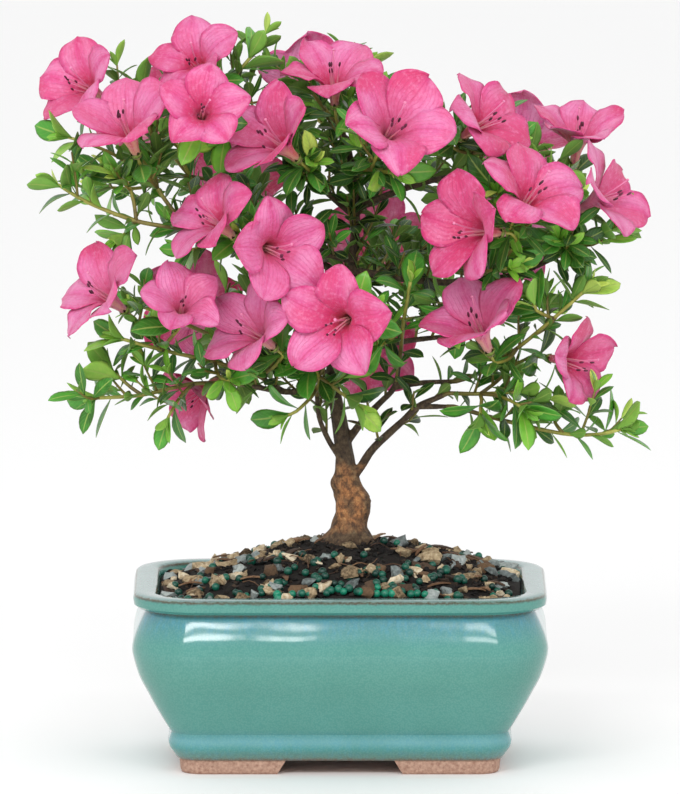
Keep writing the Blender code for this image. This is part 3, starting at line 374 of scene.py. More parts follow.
# Potting mix
# A dark mix of peat and fine bark, mounded to the trunk's foot, with pale pumice and grey grit in it,
# round green-coated feed prills washed to the front, and chips and threads of bark.
SOIL_EDGE = 66.6
MOUND_RISE = 19.0
MOUND_SPREAD = (76.0, 54.0)
TRUNK_FOOT = (4.0, 0.0)
SOIL_INSET = 10.7
SOIL_RINGS = 46
SOIL_STEPS = (22, 70, 44)
SOIL_WALL = ((11.5, 24.3), (15.0, 20.9), (46.0, 6.8), (56.0, 9.2))
STONE_ROOM, STONE_CORNER = (64.0, 45.0), ((50.0, 31.0), 15.0)
LOOSE_ROOM, LOOSE_CORNER = (67.0, 47.5), ((52.0, 33.0), 16.0)
STONES, STONE_SPACING = 18, 6.4
PRILLS, PRILL_SPACING, PRILL_RADIUS = 13, 5.0, 1.8
MORE_STONES, MORE_PRILLS, FRONT_PRILLS, GRANULES, CHIPS, THREADS = 270, 150, 20, 1700, 60, 36
BARE_HALF_WIDTH, BARE_SHARE = 24.0, 0.35
WASHED_FRONT = -44.0
GRIT_PITS, GRIT_CREASE = 0.36, 44.0
THREAD_POINTS = 7
UP = Vector((0, 0, 1))


def soil_height(x, y):
    """Height of the mix: low at the rim, mounded round the trunk, slightly uneven."""
    dx, dy = (x - TRUNK_FOOT[0]) / MOUND_SPREAD[0], (y - TRUNK_FOOT[1]) / MOUND_SPREAD[1]
    mound = MOUND_RISE * max(0.0, 1 - math.hypot(dx, dy) ** 1.6)
    uneven = 0.5 * math.sin(0.31 * x + 1.0) * math.cos(0.37 * y)
    return SOIL_EDGE + mound + uneven


def on_open_mix(x, y, corner, from_trunk):
    """Whether a place lies inside the mix's rounded corners and clear of the trunk's foot."""
    (middle_x, middle_y), radius = corner
    past = math.hypot(max(abs(x) - middle_x, 0), max(abs(y) - middle_y, 0))
    return past <= radius and math.hypot(x - TRUNK_FOOT[0], y - TRUNK_FOOT[1]) >= from_trunk


def scatter_on_soil(rng, count, spacing, taken, keep_from_trunk):
    """Places on the mix that keep their distance from each other, the rim and the trunk's foot."""
    places = []
    while len(places) < count:
        x, y = (rng.uniform(-half, half) for half in STONE_ROOM)
        if not on_open_mix(x, y, STONE_CORNER, keep_from_trunk):
            continue
        if all(math.hypot(x - a, y - b) >= spacing for a, b in taken):
            taken.append((x, y))
            places.append(Vector((x, y, soil_height(x, y))))
    return places


def loose_place(rng, nearer_front=0.0):
    """A place anywhere on the mix, more often near the front edge where asked."""
    while True:
        x, y = (rng.uniform(-half, half) for half in LOOSE_ROOM)
        if rng.random() < nearer_front:
            x, y = rng.gauss(4.0, 30.0), rng.uniform(-48.0, -30.0)
        if on_open_mix(x, y, LOOSE_CORNER, 11.0):
            return Vector((x, y, soil_height(x, y)))


def mesh_parts(bm):
    """Points and faces of a working mesh, which is then let go."""
    bm.verts.index_update()
    points = [vert.co.copy() for vert in bm.verts]
    faces = [tuple(vert.index for vert in face.verts) for face in bm.faces]
    bm.free()
    return points, faces


def angular_bit(rng, place, size, corners, pitted=False):
    """A broken piece of grit: the hull of a few places on an uneven ellipsoid, pitted where asked."""
    bm = bmesh.new()
    for _ in range(corners):
        bm.verts.new(Vector([rng.gauss(0, 1) for _ in range(3)]).normalized() * rng.uniform(0.8, 1.1))
    within = bmesh.ops.convex_hull(bm, input=bm.verts)["geom_interior"]
    bmesh.ops.delete(bm, geom=[v for v in within if isinstance(v, bmesh.types.BMVert)], context="VERTS")
    if pitted:
        bmesh.ops.subdivide_edges(bm, edges=list(bm.edges), cuts=1, use_grid_fill=True)
        for vert in bm.verts:
            vert.co *= 1.0 + GRIT_PITS * noise.noise(vert.co * 2.4 + place)
    turn = Matrix.Rotation(rng.uniform(0, math.tau), 4, "Z") @ Matrix.Rotation(rng.uniform(-0.5, 0.5), 4, "X")
    matrix = Matrix.Translation(place) @ turn @ Matrix.Diagonal((size * 0.62, size * 0.48, size * 0.38, 1))
    bmesh.ops.transform(bm, verts=bm.verts, matrix=matrix)
    return mesh_parts(bm)


def round_prill(place, radius):
    bm = bmesh.new()
    bmesh.ops.create_icosphere(bm, subdivisions=2, radius=radius, matrix=Matrix.Translation(place))
    return mesh_parts(bm)


def squared(direction, along):
    """The part of a direction that stands square to another one, as a unit vector."""
    return (direction - along * direction.dot(along)).normalized()


def turned_from(first, second, angle):
    """The direction at an angle from a first one towards a second that is square to it."""
    return first * math.cos(angle) + second * math.sin(angle)


def ring_about(place, across, other, radius, sides, turn=0.0):
    turns = [turn + math.tau * side / sides for side in range(sides)]
    return [place + turned_from(across, other, angle) * radius for angle in turns]


def tube(path, radii, sides):
    """Points and faces of a round stem along a path, with its radius at each point of it."""
    across = (path[1] - path[0]).orthogonal().normalized()
    rings = []
    for i, (place, radius) in enumerate(zip(path, radii)):
        along = (path[min(i + 1, len(path) - 1)] - path[max(i - 1, 0)]).normalized()
        across = squared(across, along)
        rings.append(ring_about(place, across, along.cross(across), radius, sides))
    return loft(rings)


def bark_sliver(place, heading_angle, reach, wide, lift, rng):
    """A flat sliver of bark that tapers to both ends and is arched along its length."""
    along = Vector((math.cos(heading_angle), math.sin(heading_angle), lift)).normalized()
    side = along.cross(UP).normalized()
    up = side.cross(along)
    rings = []
    for t in (-0.5, -0.25, 0.0, 0.25, 0.5):
        middle = place + along * reach * 2 * t + up * (0.8 - 3.2 * t * t)
        half = side * wide * (1 - 2.6 * t * t) * rng.uniform(0.8, 1.1)
        rings.append([middle + half * sx + up * sz * 0.28 for sx, sz in ((-1, -1), (1, -1), (1, 1), (-1, 1))])
    return loft(rings)


def tone_finish(name, stops, roughness, grain_mm, relief, depth=0.55):
    """A matt mineral or woody finish whose tone comes from each bit's own mark and a grain of that size."""
    finish, tree, place = new_finish(name, Roughness=roughness)
    grain = add(tree, "TexNoise", {"Vector": place, "Scale": 1 / (grain_mm * MM), "Detail": 4.0})
    middle = add(tree, "Math", {0: marks_of(tree)["X"], 1: depth / 2}, operation="SUBTRACT")
    tone = add(tree, "Math", {0: grain, 1: depth, 2: middle}, operation="MULTIPLY_ADD")
    wear(tree, add(tree, "ValToRGB", {0: tone}, stops=stops), grain, 0.7, relief)
    return finish


soil_build = Build()
soil_rings = [[(x, y, height) for x, y in plan_outline(inset, *SOIL_STEPS)] for height, inset in SOIL_WALL]
edge = plan_outline(SOIL_INSET, *SOIL_STEPS)
for step in range(SOIL_RINGS + 1):
    share = 1 - step / (SOIL_RINGS + 1)
    ring = []
    for x, y in edge:
        x, y = TRUNK_FOOT[0] + (x - TRUNK_FOOT[0]) * share, TRUNK_FOOT[1] + (y - TRUNK_FOOT[1]) * share
        crumb = 0.9 * noise.noise((x / 3.1, y / 3.1, 0.5)) + 0.6 * noise.noise((x / 1.3, y / 1.3, 7.5))
        ring.append((x, y, soil_height(x, y) + (crumb if step else 0.0)))
    soil_rings.append(ring)
soil_build.add(*loft(soil_rings), 0, (0.45, 0.0, 0.0))
dark_mix = tone_finish("dark_potting_mix", (
    (0.2, "#090706"), (0.45, "#140f0c"), (0.7, "#231a14"), (0.88, "#403226")), 0.95, 1.1, 0.5)
show("mounded_mix", soil_build, [dark_mix], "potting_mix", "potting_mix")

rng = random.Random(11)
taken = []
stones = scatter_on_soil(rng, STONES, STONE_SPACING, taken, keep_from_trunk=17)
pellets = scatter_on_soil(rng, PRILLS, PRILL_SPACING, taken, keep_from_trunk=14)
stone_spots = [(place, rng.uniform(3.4, 6.2) * 1.5) for place in stones]
prill_spots = [place + UP * 0.6 for place in pellets]
rng = random.Random(12)
for _ in range(MORE_STONES):
    place = loose_place(rng, 0.10)
    if abs(place.x - TRUNK_FOOT[0]) >= BARE_HALF_WIDTH or rng.random() >= BARE_SHARE:
        stone_spots.append((place + UP * rng.uniform(0.0, 1.2), rng.triangular(2.2, 9.8, 5.6)))
for _ in range(MORE_PRILLS):
    prill_spots.append(loose_place(rng, 0.3) + UP * rng.uniform(0.6, 2.0))
for i in range(FRONT_PRILLS):
    x, y = 4.0 + 56.0 * (i / (FRONT_PRILLS - 1) - 0.5) + rng.uniform(-1.3, 1.3), rng.uniform(-47.8, -45.2)
    prill_spots.append(Vector((x, y, soil_height(x, y) + rng.uniform(1.0, 2.2))))
grit, prills, crumbs, chips = Build(), Build(), Build(), Build()
for place, size in stone_spots:
    points, faces = angular_bit(rng, place, size, 13, size > 3.0)
    kind = rng.random()
    grit.add(points, faces, int(kind > 0.62) + int(kind > 0.86), (rng.uniform(0.15, 0.95), 0, 0))
for place in prill_spots:
    points, faces = round_prill(place, PRILL_RADIUS * rng.uniform(0.72, 1.0))
    tone = rng.uniform(0.0, 0.5) + (0.3 if place.y < WASHED_FRONT else 0.05)
    prills.add(points, faces, 0, (tone, 0, 0))
for _ in range(GRANULES):
    points, faces = angular_bit(rng, loose_place(rng) + UP * 0.4, rng.uniform(1.4, 3.4), 9)
    crumbs.add(points, faces, 0, (rng.triangular(0.1, 1.0, 0.3), 0, 0))
for _ in range(CHIPS):
    place, heading_angle = loose_place(rng) + UP * rng.uniform(0.6, 1.6), rng.uniform(0, math.tau)
    reach, wide, lift = rng.uniform(3.0, 7.0), rng.uniform(0.7, 1.8), rng.uniform(-0.25, 0.35)
    points, faces = bark_sliver(place, heading_angle, reach, wide, lift, rng)
    chips.add(points, faces, 0, (rng.uniform(0.2, 0.9), 0, 0))
for _ in range(THREADS):
    place, heading_angle = loose_place(rng) + UP * 1.4, rng.uniform(0, math.tau)
    turn, reach = rng.uniform(-0.25, 0.25), rng.uniform(1.6, 3.2)
    path = []
    for step in range(THREAD_POINTS):
        spot = place + Vector((math.cos(heading_angle), math.sin(heading_angle), 0)) * reach * step
        spot.z = soil_height(spot.x, spot.y) + 1.2 + math.sin(step * 1.1)
        path.append(spot)
        heading_angle += turn
    if all(abs(p.x) < 68 and abs(p.y) < 48 for p in path):
        points, faces = tube(path, [0.28 - 0.03 * step for step in range(THREAD_POINTS)], 5)
        chips.add(points, faces, 0, (rng.uniform(0.3, 0.8), 0, 0))
pumice = tone_finish("tan_pumice", (
    (0.1, "#473a28"), (0.35, "#857155"), (0.7, "#b29e7e"), (0.95, "#d5c8ae")), 0.9, 1.3, 0.7, 1.2)
granite = tone_finish("grey_grit", (
    (0.1, "#3f4544"), (0.5, "#788180"), (0.9, "#a8b0ad")), 0.75, 1.2, 0.3, 0.9)
lava = tone_finish("dark_lava", ((0.1, "#241c17"), (0.5, "#463528"), (0.9, "#6d543c")), 0.95, 1.0, 0.5)
coating = tone_finish("green_prill_coating", (
    (0.1, "#0a332b"), (0.5, "#0e5c49"), (0.8, "#138868"), (0.95, "#27ad88")), 0.38, 0.9, 0.08)
bark_chip = tone_finish("bark_chips", (
    (0.1, "#271b14"), (0.45, "#4c3626"), (0.75, "#6e4f36"), (0.95, "#957659")), 0.85, 1.5, 0.3)
loose_grit = show("pumice_and_grit", grit, [pumice, granite, lava], "potting_mix")
loose_grit.data.set_sharp_from_angle(angle=math.radians(GRIT_CREASE))
show("feed_prills", prills, [coating], "potting_mix")
show("peat_crumbs", crumbs, [dark_mix], "potting_mix", smooth=False)
show("bark_chips", chips, [bark_chip], "potting_mix", smooth=False)

# Trunk, surface roots and woody branches
# One piece of living wood. Low down the old bark has flaked to a warm orange brown, and round a healed
# stub sits a burl; higher up and on the branches the bark is dark, thin and olive brown.
TRUNK = (
    (3.4, 0, 74.0, 9.6, 9.0), (3.2, 0, 81.0, 10.4, 9.8), (2.9, 0, 86.0, 9.4, 8.8), (3.2, 0, 89.4, 7.4, 7.1),
    (3.8, 0, 94.0, 6.4, 6.2), (4.5, 0, 99.5, 6.3, 6.1), (4.3, 0, 103.4, 6.2, 5.9), (2.5, 0, 107.8, 5.4, 5.2),
    (2.2, 0, 112.0, 4.2, 4.2), (1.7, -0.6, 120.0, 3.5, 3.5), (-0.4, -1.6, 133.0, 2.9, 2.9),
    (-2.8, 0.6, 147.0, 2.6, 2.6), (-1.6, 3.6, 162.0, 2.4, 2.4),
    (3.0, 3.4, 179.0, 2.1, 2.1), (5.0, 2.0, 197.0, 1.9, 1.9), (6.2, 1.4, 214.0, 1.6, 1.6),
    (4.6, -1.0, 230.0, 1.4, 1.4), (2.2, -4.6, 243.0, 1.2, 1.2),
)
TRUNK_SIDES = 36
BARK_LUMPS = 0.07
OLD_BARK_TOP = 112.0
BURL, BURL_HEIGHT = 1.2, 101.0
HEEL, HEEL_HEIGHT = 1.3, 108.0
ROOTS = (
    (205, 15.0, 2.9), (248, 12.0, 2.4), (318, 15.5, 3.0), (352, 11.0, 2.6), (60, 12.0, 2.8), (135, 13.0, 2.7),
)
WOOD_VOXEL = 0.5
BRANCH_SIDES = 12
FINE_STEP = 2.5

# Branches and shoots: the wood's middle line from inside the piece that carries it, its radius at each
# end, the green shoot that seats on its cut end, and the tips of side shoots, each with its heading.
SHOOTS = {
    "high_left": (
        ((5, 1, 194), (-12, -10, 200), (-30, -19, 205), (-46, -26, 209), (-62, -31, 216)), 1.7, 1.0,
        ((-70, -32, 226), (-76, -31, 238)),
        (((-104, -36, 246), (-1, -0.2, 0.3)), ((-76, -16, 262), (-0.3, 0.1, 1)))),
    "left_tip": (
        ((-49, -27, 210), (-61, -35, 211)), 1.2, 0.9, ((-78, -38, 214), (-96, -39, 221), (-108, -38, 228)),
        (((-84, -42, 231), (-0.7, -0.5, 0.5)), ((-84, -30, 207), (-0.7, -0.3, -0.5)))),
    "left_inner": (
        ((-27, -18, 204), (-31, -27, 205)), 1.2, 0.9, ((-35, -36, 207), (-38, -42, 209)),
        (((-58, -40, 203), (-0.9, -0.5, -0.1)),)),
    "top_left": (
        ((6, 1, 211), (-8, -6, 224), (-20, -12, 237), (-31, -15, 249), (-38, -17, 260)), 1.5, 0.9,
        ((-40, -17, 267), (-34, -15, 275)), (((-44, -34, 247), (-0.2, -0.7, -0.4)),)),
    "top_middle": (
        ((-10, -7, 227), (-12, -16, 229)), 1.1, 0.9, ((-12, -25, 231), (-10, -33, 236)), ()),
    "top": (
        ((3, -3, 239), (1, -6, 245)), 1.1, 0.9, ((-4, -4, 251), (-14, -4, 264)),
        (((14, -16, 262), (0.5, -0.1, 0.8)),)),
    "top_front": (
        ((5, -2, 226), (8, -11, 229)), 1.1, 0.9, ((11, -22, 232), (20, -34, 232)), ()),
    "top_right": (
        ((50, -18, 230), (50, -19, 236)), 1.1, 0.9, ((49, -22, 243), (40, -28, 252)),
        (((66, -26, 243), (0.7, -0.4, 0.5)),)),
    "right_top": (
        ((6, 1, 214), (22, -9, 222), (40, -16, 228), (58, -20, 230)), 1.5, 1.0,
        ((70, -22, 227), (84, -22, 228)), (((60, -44, 226), (-0.3, -0.9, 0.5)),)),
    "right": (
        ((4, 2, 190), (22, -5, 188), (44, -11, 187), (66, -14, 190), (84, -18, 198)), 1.7, 1.0,
        ((94, -22, 203), (104, -20, 209)), (((84, -34, 206), (-0.1, -0.9, 0.4)),)),
    "middle": (
        ((46, -12, 187), (52, -20, 190)), 1.2, 0.9, ((58, -30, 194), (64, -40, 196)),
        (((44, -36, 176), (-0.4, -0.8, -0.2)),)),
    "middle_fresh": (
        ((1, 0, 121), (8, -2, 131), (15, -5, 139), (21, -8, 146), (23, -12, 157)), 1.7, 0.9,
        ((24, -22, 170), (27, -34, 190)), (((14, -32, 166), (-0.5, -0.8, 0.3)),)),
    "right_main": (
        ((21, -8, 146), (32, -11, 148), (43, -15, 149)), 1.3, 0.9,
        ((54, -19, 153), (68, -24, 163), (82, -27, 175), (94, -29, 186)),
        (((74, -34, 182), (-0.4, -0.3, 0.9)),)),
    "right_low": (
        ((3, 0, 107), (8, -2, 114), (13, -6, 122), (24, -11, 133), (30, -13, 139), (40, -17, 144)), 1.9, 1.1,
        ((54, -21, 145), (70, -22, 146)),
        (((54, -28, 137), (0, -0.6, -0.8)), ((70, -34, 141), (0.6, -0.7, -0.4)))),
    "right_low_tip": (
        ((30, -13, 139), (42, -13, 139)), 1.2, 0.9,
        ((66, -14, 133), (86, -17, 129), (99, -19, 129), (108, -20, 131)),
        (((84, -12, 137), (0.4, 0.3, 0.8)),)),
    "left_low": (
        ((-1, -1, 137), (-8, -8, 144), (-15, -15, 145), (-23, -21, 146), (-36, -26, 149)), 1.7, 1.0,
        ((-56, -29, 150), (-76, -32, 146), (-94, -34, 145)),
        (((-66, -38, 138), (-0.4, -0.5, -0.7)), ((-88, -28, 155), (-0.8, 0.2, 0.6)))),
    "left_middle": (
        ((-22, -20, 146), (-30, -27, 152)), 1.2, 0.9, ((-48, -34, 159), (-68, -37, 164), (-84, -41, 169)),
        (((-42, -48, 154), (0.3, -0.8, 0.3)),)),
    "middle_low": (
        ((1, -1, 116), (-4, -4, 124), (-8, -8, 134), (-9, -13, 144)), 1.2, 0.9,
        ((-8, -22, 152), (-14, -32, 159)),
        (((6, -26, 142), (0.8, -0.3, -0.5)), ((-20, -24, 137), (-0.9, -0.3, -0.4)))),
    "back_left": (
        ((4, 3, 186), (-12, 14, 194), (-30, 23, 203), (-48, 29, 214)), 1.6, 1.0,
        ((-58, 31, 223), (-64, 30, 238)), (((-92, 14, 222), (-1, -0.2, 0.4)),)),
    "back_top": (
        ((6, 1, 216), (3, 10, 230), (0, 18, 243)), 1.4, 1.0, ((0, 23, 250), (8, 28, 264)), ()),
    "back_right": (
        ((3, 4, 180), (20, 16, 190), (40, 25, 199), (58, 30, 208)), 1.6, 1.0, ((72, 32, 212), (90, 26, 216)),
        (((44, 46, 216), (-0.3, 0.8, 0.5)),)),
    "back_low": (
        ((-2, 2, 155), (12, 14, 158), (26, 22, 160), (40, 27, 161)), 1.5, 1.0, ((54, 30, 165), (76, 26, 174)),
        (((34, 46, 176), (-0.2, 0.8, 0.4)),)),
    "back_low_left": (
        ((-3, 1, 149), (-16, 13, 153), (-30, 22, 156), (-44, 27, 159)), 1.5, 1.0,
        ((-56, 29, 164), (-78, 22, 174)), (((-28, 42, 180), (-0.4, 0.7, 0.5)),)),
}
PATH_STEP = 15.0
SEAT_GAP = 0.3


def shoot_paths(name):
    """The middle lines of a shoot's wood and of its green stem, a seat's gap apart."""
    wood_points, _, _, green_points, _ = SHOOTS[name]
    line = smooth_path([*wood_points, *green_points], PATH_STEP)
    cut_end = Vector(wood_points[-1])
    split = min(range(len(line)), key=lambda i: (line[i] - cut_end).length)
    onward = (line[split] - line[split - 1]).normalized()
    seat = [line[split] + onward * SEAT_GAP, line[split] + onward * (SEAT_GAP + 1.5)]
    return line[:split + 1], [*seat, *line[split + 1:]]


def path_lengths(path):
    lengths = [0.0]
    for a, b in zip(path, path[1:]):
        lengths.append(lengths[-1] + (b - a).length)
    return lengths


def tapered(path, start, end):
    lengths = path_lengths(path)
    return [start + (end - start) * length / lengths[-1] for length in lengths]


def living_bark():
    """Azalea bark: flaked orange brown on the old foot, dark olive brown above, with short upright cracks."""
    finish, tree, place = new_finish("azalea_bark", Roughness=0.8)
    upright = add(tree, "Mapping", {"Vector": place, "Scale": (560.0, 560.0, 430.0)})
    flakes = add(tree, "TexNoise", {"Vector": upright, "Scale": 1.0, "Detail": 6.0, "Roughness": 0.66})
    cracks = add(tree, "TexVoronoi", {"Vector": upright, "Scale": 0.9}, feature="DISTANCE_TO_EDGE")
    patches = add(tree, "TexNoise", {"Vector": place, "Scale": 170.0, "Detail": 3.0})
    _, to_back, height = add(tree, "SeparateXYZ", {0: place}).node.outputs
    old = add(tree, "ValToRGB", {0: flakes}, stops=(
        (0.28, "#432d1e"), (0.42, "#775032"), (0.52, "#a56f43"), (0.62, "#bb8755"), (0.75, "#d3a978")))
    young = add(tree, "ValToRGB", {0: flakes}, stops=(
        (0.3, "#2a2018"), (0.46, "#463728"), (0.6, "#5c4c38"), (0.78, "#7b6c50")))
    shifted = add(tree, "Math", {0: patches, 1: 0.022, 2: height}, operation="MULTIPLY_ADD")
    depth = add(tree, "Math", {0: patches, 1: 0.007, 2: to_back}, operation="MULTIPLY_ADD")
    from_burl = add(tree, "VectorMath", {0: place, 1: (0.0115, -0.002, 0.101)}, operation="DISTANCE")
    dark = 0.0
    for source, begins, full, most in ((patches, 0.5, 0.66, 0.75), (shifted, 0.107, 0.099, 0.95),
                                       (from_burl, 0.0055, 0.0035, 0.85), (depth, -0.0008, 0.0014, 0.75)):
        darker = add(tree, "MapRange", {0: source, 1: begins, 2: full, 3: 0.0, 4: most})
        dark = add(tree, "Math", {0: darker, 1: dark}, operation="MAXIMUM")
    gap = add(tree, "MapRange", {0: cracks, 1: 0.0, 2: 0.09, 3: 0.22, 4: 0.0})
    colour = laid_over(tree, young, (old, 1.0, (shifted, 0.128, 0.119)), (young, dark), ("#1c120c", gap))
    wear(tree, colour, add(tree, "Math", {0: flakes, 1: gap}, operation="SUBTRACT"), 0.9, 0.7)
    return finish


wood_build = Build()
trunk_rings = []
for x, y, z, wide, deep, level in smooth_path([(*row, level) for level, row in enumerate(TRUNK)], 1.2):
    ring = []
    for side in range(TRUNK_SIDES):
        angle = math.tau * side / TRUNK_SIDES
        out = Vector((math.cos(angle), math.sin(angle), 0))
        lump = 1 + BARK_LUMPS * (math.sin(3 * angle + 1.9 * level) + math.sin(5 * angle - 1.3 * level))
        lump += noise.noise(Vector((x, y, z * 0.45)) / 1.7 + out * 2.4) * (0.05 if z > OLD_BARK_TOP else 0.1)
        burl = BURL * math.exp(-((z - BURL_HEIGHT) / 4.5) ** 2) * max(0.0, math.cos(angle + 0.3)) ** 2
        heel = HEEL * math.exp(-((z - HEEL_HEIGHT) / 2.4) ** 2) * max(0.0, -math.cos(angle)) ** 3
        knobs = abs(noise.noise(Vector((x, y, z)) / 1.9 + out * 3.4)) * burl * 1.5
        radius_x = wide * lump + burl + heel + knobs
        ring.append(Vector((x + radius_x * out.x, y + deep * lump * out.y, z)))
    trunk_rings.append(ring)
wood_build.add(*loft(trunk_rings))
for degrees, reach, radius in ROOTS:
    across, deep = math.cos(math.radians(degrees)), math.sin(math.radians(degrees))
    path = smooth_path([(TRUNK_FOOT[0] + across * r, TRUNK_FOOT[1] + deep * r, z)
                        for r, z in ((2, 92), (6, 87.5), (reach * 0.75, 83.5), (reach, 78))], 1.5)
    wood_build.add(*tube(path, tapered(path, radius, radius * 0.45), BRANCH_SIDES))
for name, (_, start, end, _, _) in SHOOTS.items():
    path = smooth_path(shoot_paths(name)[0], FINE_STEP)
    radii = [radius * (1 + 0.09 * noise.noise(place / 3.0))
             for place, radius in zip(path, tapered(path, start, end))]
    wood_build.add(*tube(path, radii, BRANCH_SIDES))
wood = show("trunk_and_branches", wood_build, [], "bark", "trunk")
remesh = wood.modifiers.new("grown_together", "REMESH")
remesh.mode = "VOXEL"
remesh.voxel_size = WOOD_VOXEL * MM
calm = wood.modifiers.new("calm", "SMOOTH")
calm.factor, calm.iterations = 0.5, 2
applied(wood)
finish_smoothly(wood, living_bark())

# Flowers
# Each bloom is one thin, slightly translucent corolla: a funnel of five joined petals that part at a
# notch and overlap, on a small green calyx, with five stamens and a longer style in its throat.
FLOWERS = (
    ("high_left", (-101, -26, 267), -48, 30, 39, 0.88), ("high_left", (-83, -58, 256), -28, 54, 39, 1.00),
    ("top_left", (-57, -32, 277), -26, 38, 36, 0.84), ("top_left", (-52, -68, 261), 4, 25, 11, 0.80),
    ("top_middle", (-27, -50, 249), -44, 36, 28, 1.00), ("top", (-3, -20, 271), -8, 64, 59, 0.92),
    ("top_front", (22, -64, 256), 21, 36, 48, 1.07), ("top_right", (58, -38, 255), 54, 35, 21, 0.92),
    ("right_top", (75, -60, 230), 36, 46, 4, 1.00), ("right_top", (92, -4, 247), 24, 74, 60, 0.88),
    ("right", (105, -28, 224), 68, 28, 20, 0.93), ("middle", (47, -66, 214), -48, 8, 27, 1.03),
    ("left_inner", (-51, -60, 220), -52, 38, 38, 0.90), ("left_inner", (-23, -62, 206), 24, 4, 27, 0.96),
    ("middle_low", (-2, -71, 179), -20, 2, 15, 1.02), ("left_middle", (-94, -42, 189), -56, 36, 50, 0.92),
    ("left_middle", (-60, -62, 187), 6, 42, 30, 0.76), ("left_middle", (-36, -56, 176), -47, 34, 12, 0.95),
    ("left_low", (-58, -6, 141), -60, -28, 0, 0.80), ("right_main", (51, -50, 179), -33, 53, 61, 1.02),
    ("right_low", (93, -28, 158), 55, -2, 17, 0.84), ("back_low", (12, 46, 152), 168, -24, 0, 0.92),
    ("back_left", (-76, 54, 244), 208, 30, 20, 1.00), ("back_left", (-40, 66, 218), 190, 18, 32, 1.02),
    ("back_top", (-10, 50, 262), 186, 46, 5, 1.00), ("back_right", (70, 52, 238), 155, 34, 40, 1.00),
    ("back_right", (64, 68, 196), 166, 4, 12, 1.04), ("back_low", (14, 72, 192), 184, 12, 24, 1.06),
    ("back_low_left", (-60, 60, 170), 205, 6, 30, 1.02),
)
BLOOM_DEPTH = 20.0
LOBE_HEIGHT = 21.4
MOUTH_RADIUS = 23.0
TUBE_RADIUS = 1.5
TUBE_SHARE = 0.36
LOBES = 5
LOBE_HALF_WIDTH = 10.3
LOBE_WIDEST = 0.56
LOBE_NOD = 2.6
BLOOM_CLOSED = (-1.0, 5.0)
LOBE_SWING = 0.09
LOBE_HOLLOW = 1.7
LOBE_TUCK = 1.5
LOBE_KEEL = 2.6
PETAL_THICKNESS = 0.34
TUBE_ROWS, LOBE_ROWS, LOBE_COLUMNS = 6, 16, 12
STAMENS = 5
FILAMENT_RADII, ANTHER = (0.4, 0.26), (0.5, 1.2)
STYLE = ((0, 0, 1.5), (0.3, 0.1, 11), (1.4, 0.5, 20), (3.0, 1.0, 27.0))
STYLE_RADII, STIGMA = (0.42, 0.3), (0.65, 0.5)
CALYX_CUP = ((-0.4, 0.9), (0.3, 1.7), (1.4, 2.1), (2.2, 2.35))
CALYX_SIDES, CALYX_TEETH = 20, 1.5


def heading(azimuth, tilt):
    """A direction: degrees to the viewer's right of straight ahead, and degrees above level."""
    a, t = math.radians(azimuth), math.radians(tilt)
    return Vector((math.sin(a) * math.cos(t), -math.cos(a) * math.cos(t), math.sin(t)))


def flower_frame(flower):
    """Matrix from a flower's own frame, with +Z out of its mouth and the origin at its calyx."""
    _, mouth, azimuth, tilt, roll, size = flower
    axis = heading(azimuth, tilt)
    base = Vector(mouth) - axis * BLOOM_DEPTH * size
    aim = axis.to_track_quat("Z", "Y").to_matrix().to_4x4() @ Matrix.Rotation(math.radians(roll), 4, "Z")
    return Matrix.Translation(base) @ aim @ Matrix.Scale(size, 4)


def eased(share):
    share = min(1.0, max(0.0, share))
    return share * share * (3 - 2 * share)


def lobe_half_width(q, widest, blunt):
    """Half width of a petal lobe at a share q of the way from the notch to its blunt or pointed tip."""
    start = 2.4
    if q < widest:
        return start + (LOBE_HALF_WIDTH - start) * math.sin(math.pi / 2 * q / widest) ** 0.95
    return 0.3 + (LOBE_HALF_WIDTH - 0.3) * (1 - ((q - widest) / (1 - widest)) ** blunt) ** 0.72


def petal_point(lobe, s, t, wave, habit):
    """A place on the flower: s from calyx 0 to petal tip 1, t across the lobe from -1 to 1."""
    frill, phase, nod, swing, cup, keel, widest, blunt, broad = habit
    q = max(0.0, (s - TUBE_SHARE) / (1 - TUBE_SHARE))
    middle = math.tau * lobe / LOBES + swing * q
    height = LOBE_HEIGHT * math.sin(math.pi / 2 * s * (1.0 + 0.06 * wave[0] * eased(q)))
    radius = TUBE_RADIUS + (MOUTH_RADIUS - TUBE_RADIUS) * (1 + 0.05 * wave[1] * eased(q)) * s ** 2.2
    angle = middle + t * math.pi / LOBES
    ribbed = radius * (1 + 0.06 * math.cos(LOBES * (angle - middle)) * eased(s / 0.3))
    on_tube = Vector((ribbed * math.cos(angle), ribbed * math.sin(angle), height))
    if q == 0.0:
        return on_tube
    across = lobe_half_width(q, widest, blunt) * broad * t
    crease = 0.5 * math.exp(-(t / 0.12) ** 2) + keel * (abs(t) - 0.5)
    crease *= math.sin(math.pi * min(1.0, q * 1.05))
    margin = abs(t) ** 2.2 * eased(q * 1.5)
    ruffle = frill * margin * math.sin(phase + 10.0 * q + (2.2 if t > 0 else 0.0))
    ruffle += 0.35 * frill * margin * math.sin(2.3 * phase + 23.0 * q + (4.0 if t > 0 else 0.0))
    hollow = cup * (t * t - 0.45) * math.sin(math.pi * q ** 0.8)
    tuck = LOBE_TUCK * t * math.sin(math.pi * min(1.0, q * 0.9))
    recurve = nod * q * q - 1.5 * q ** 5
    lift = 1.5 * q * wave[2] * t * t + hollow - crease + ruffle + tuck + recurve
    outward = radius - 0.75 * abs(t) * (1 - q) - 0.55 * max(0.0, nod) * q * q
    on_lobe = Vector((outward * math.cos(middle) - across * math.sin(middle),
                      outward * math.sin(middle) + across * math.cos(middle), height + lift))
    return on_tube.lerp(on_lobe, eased(q / 0.26))


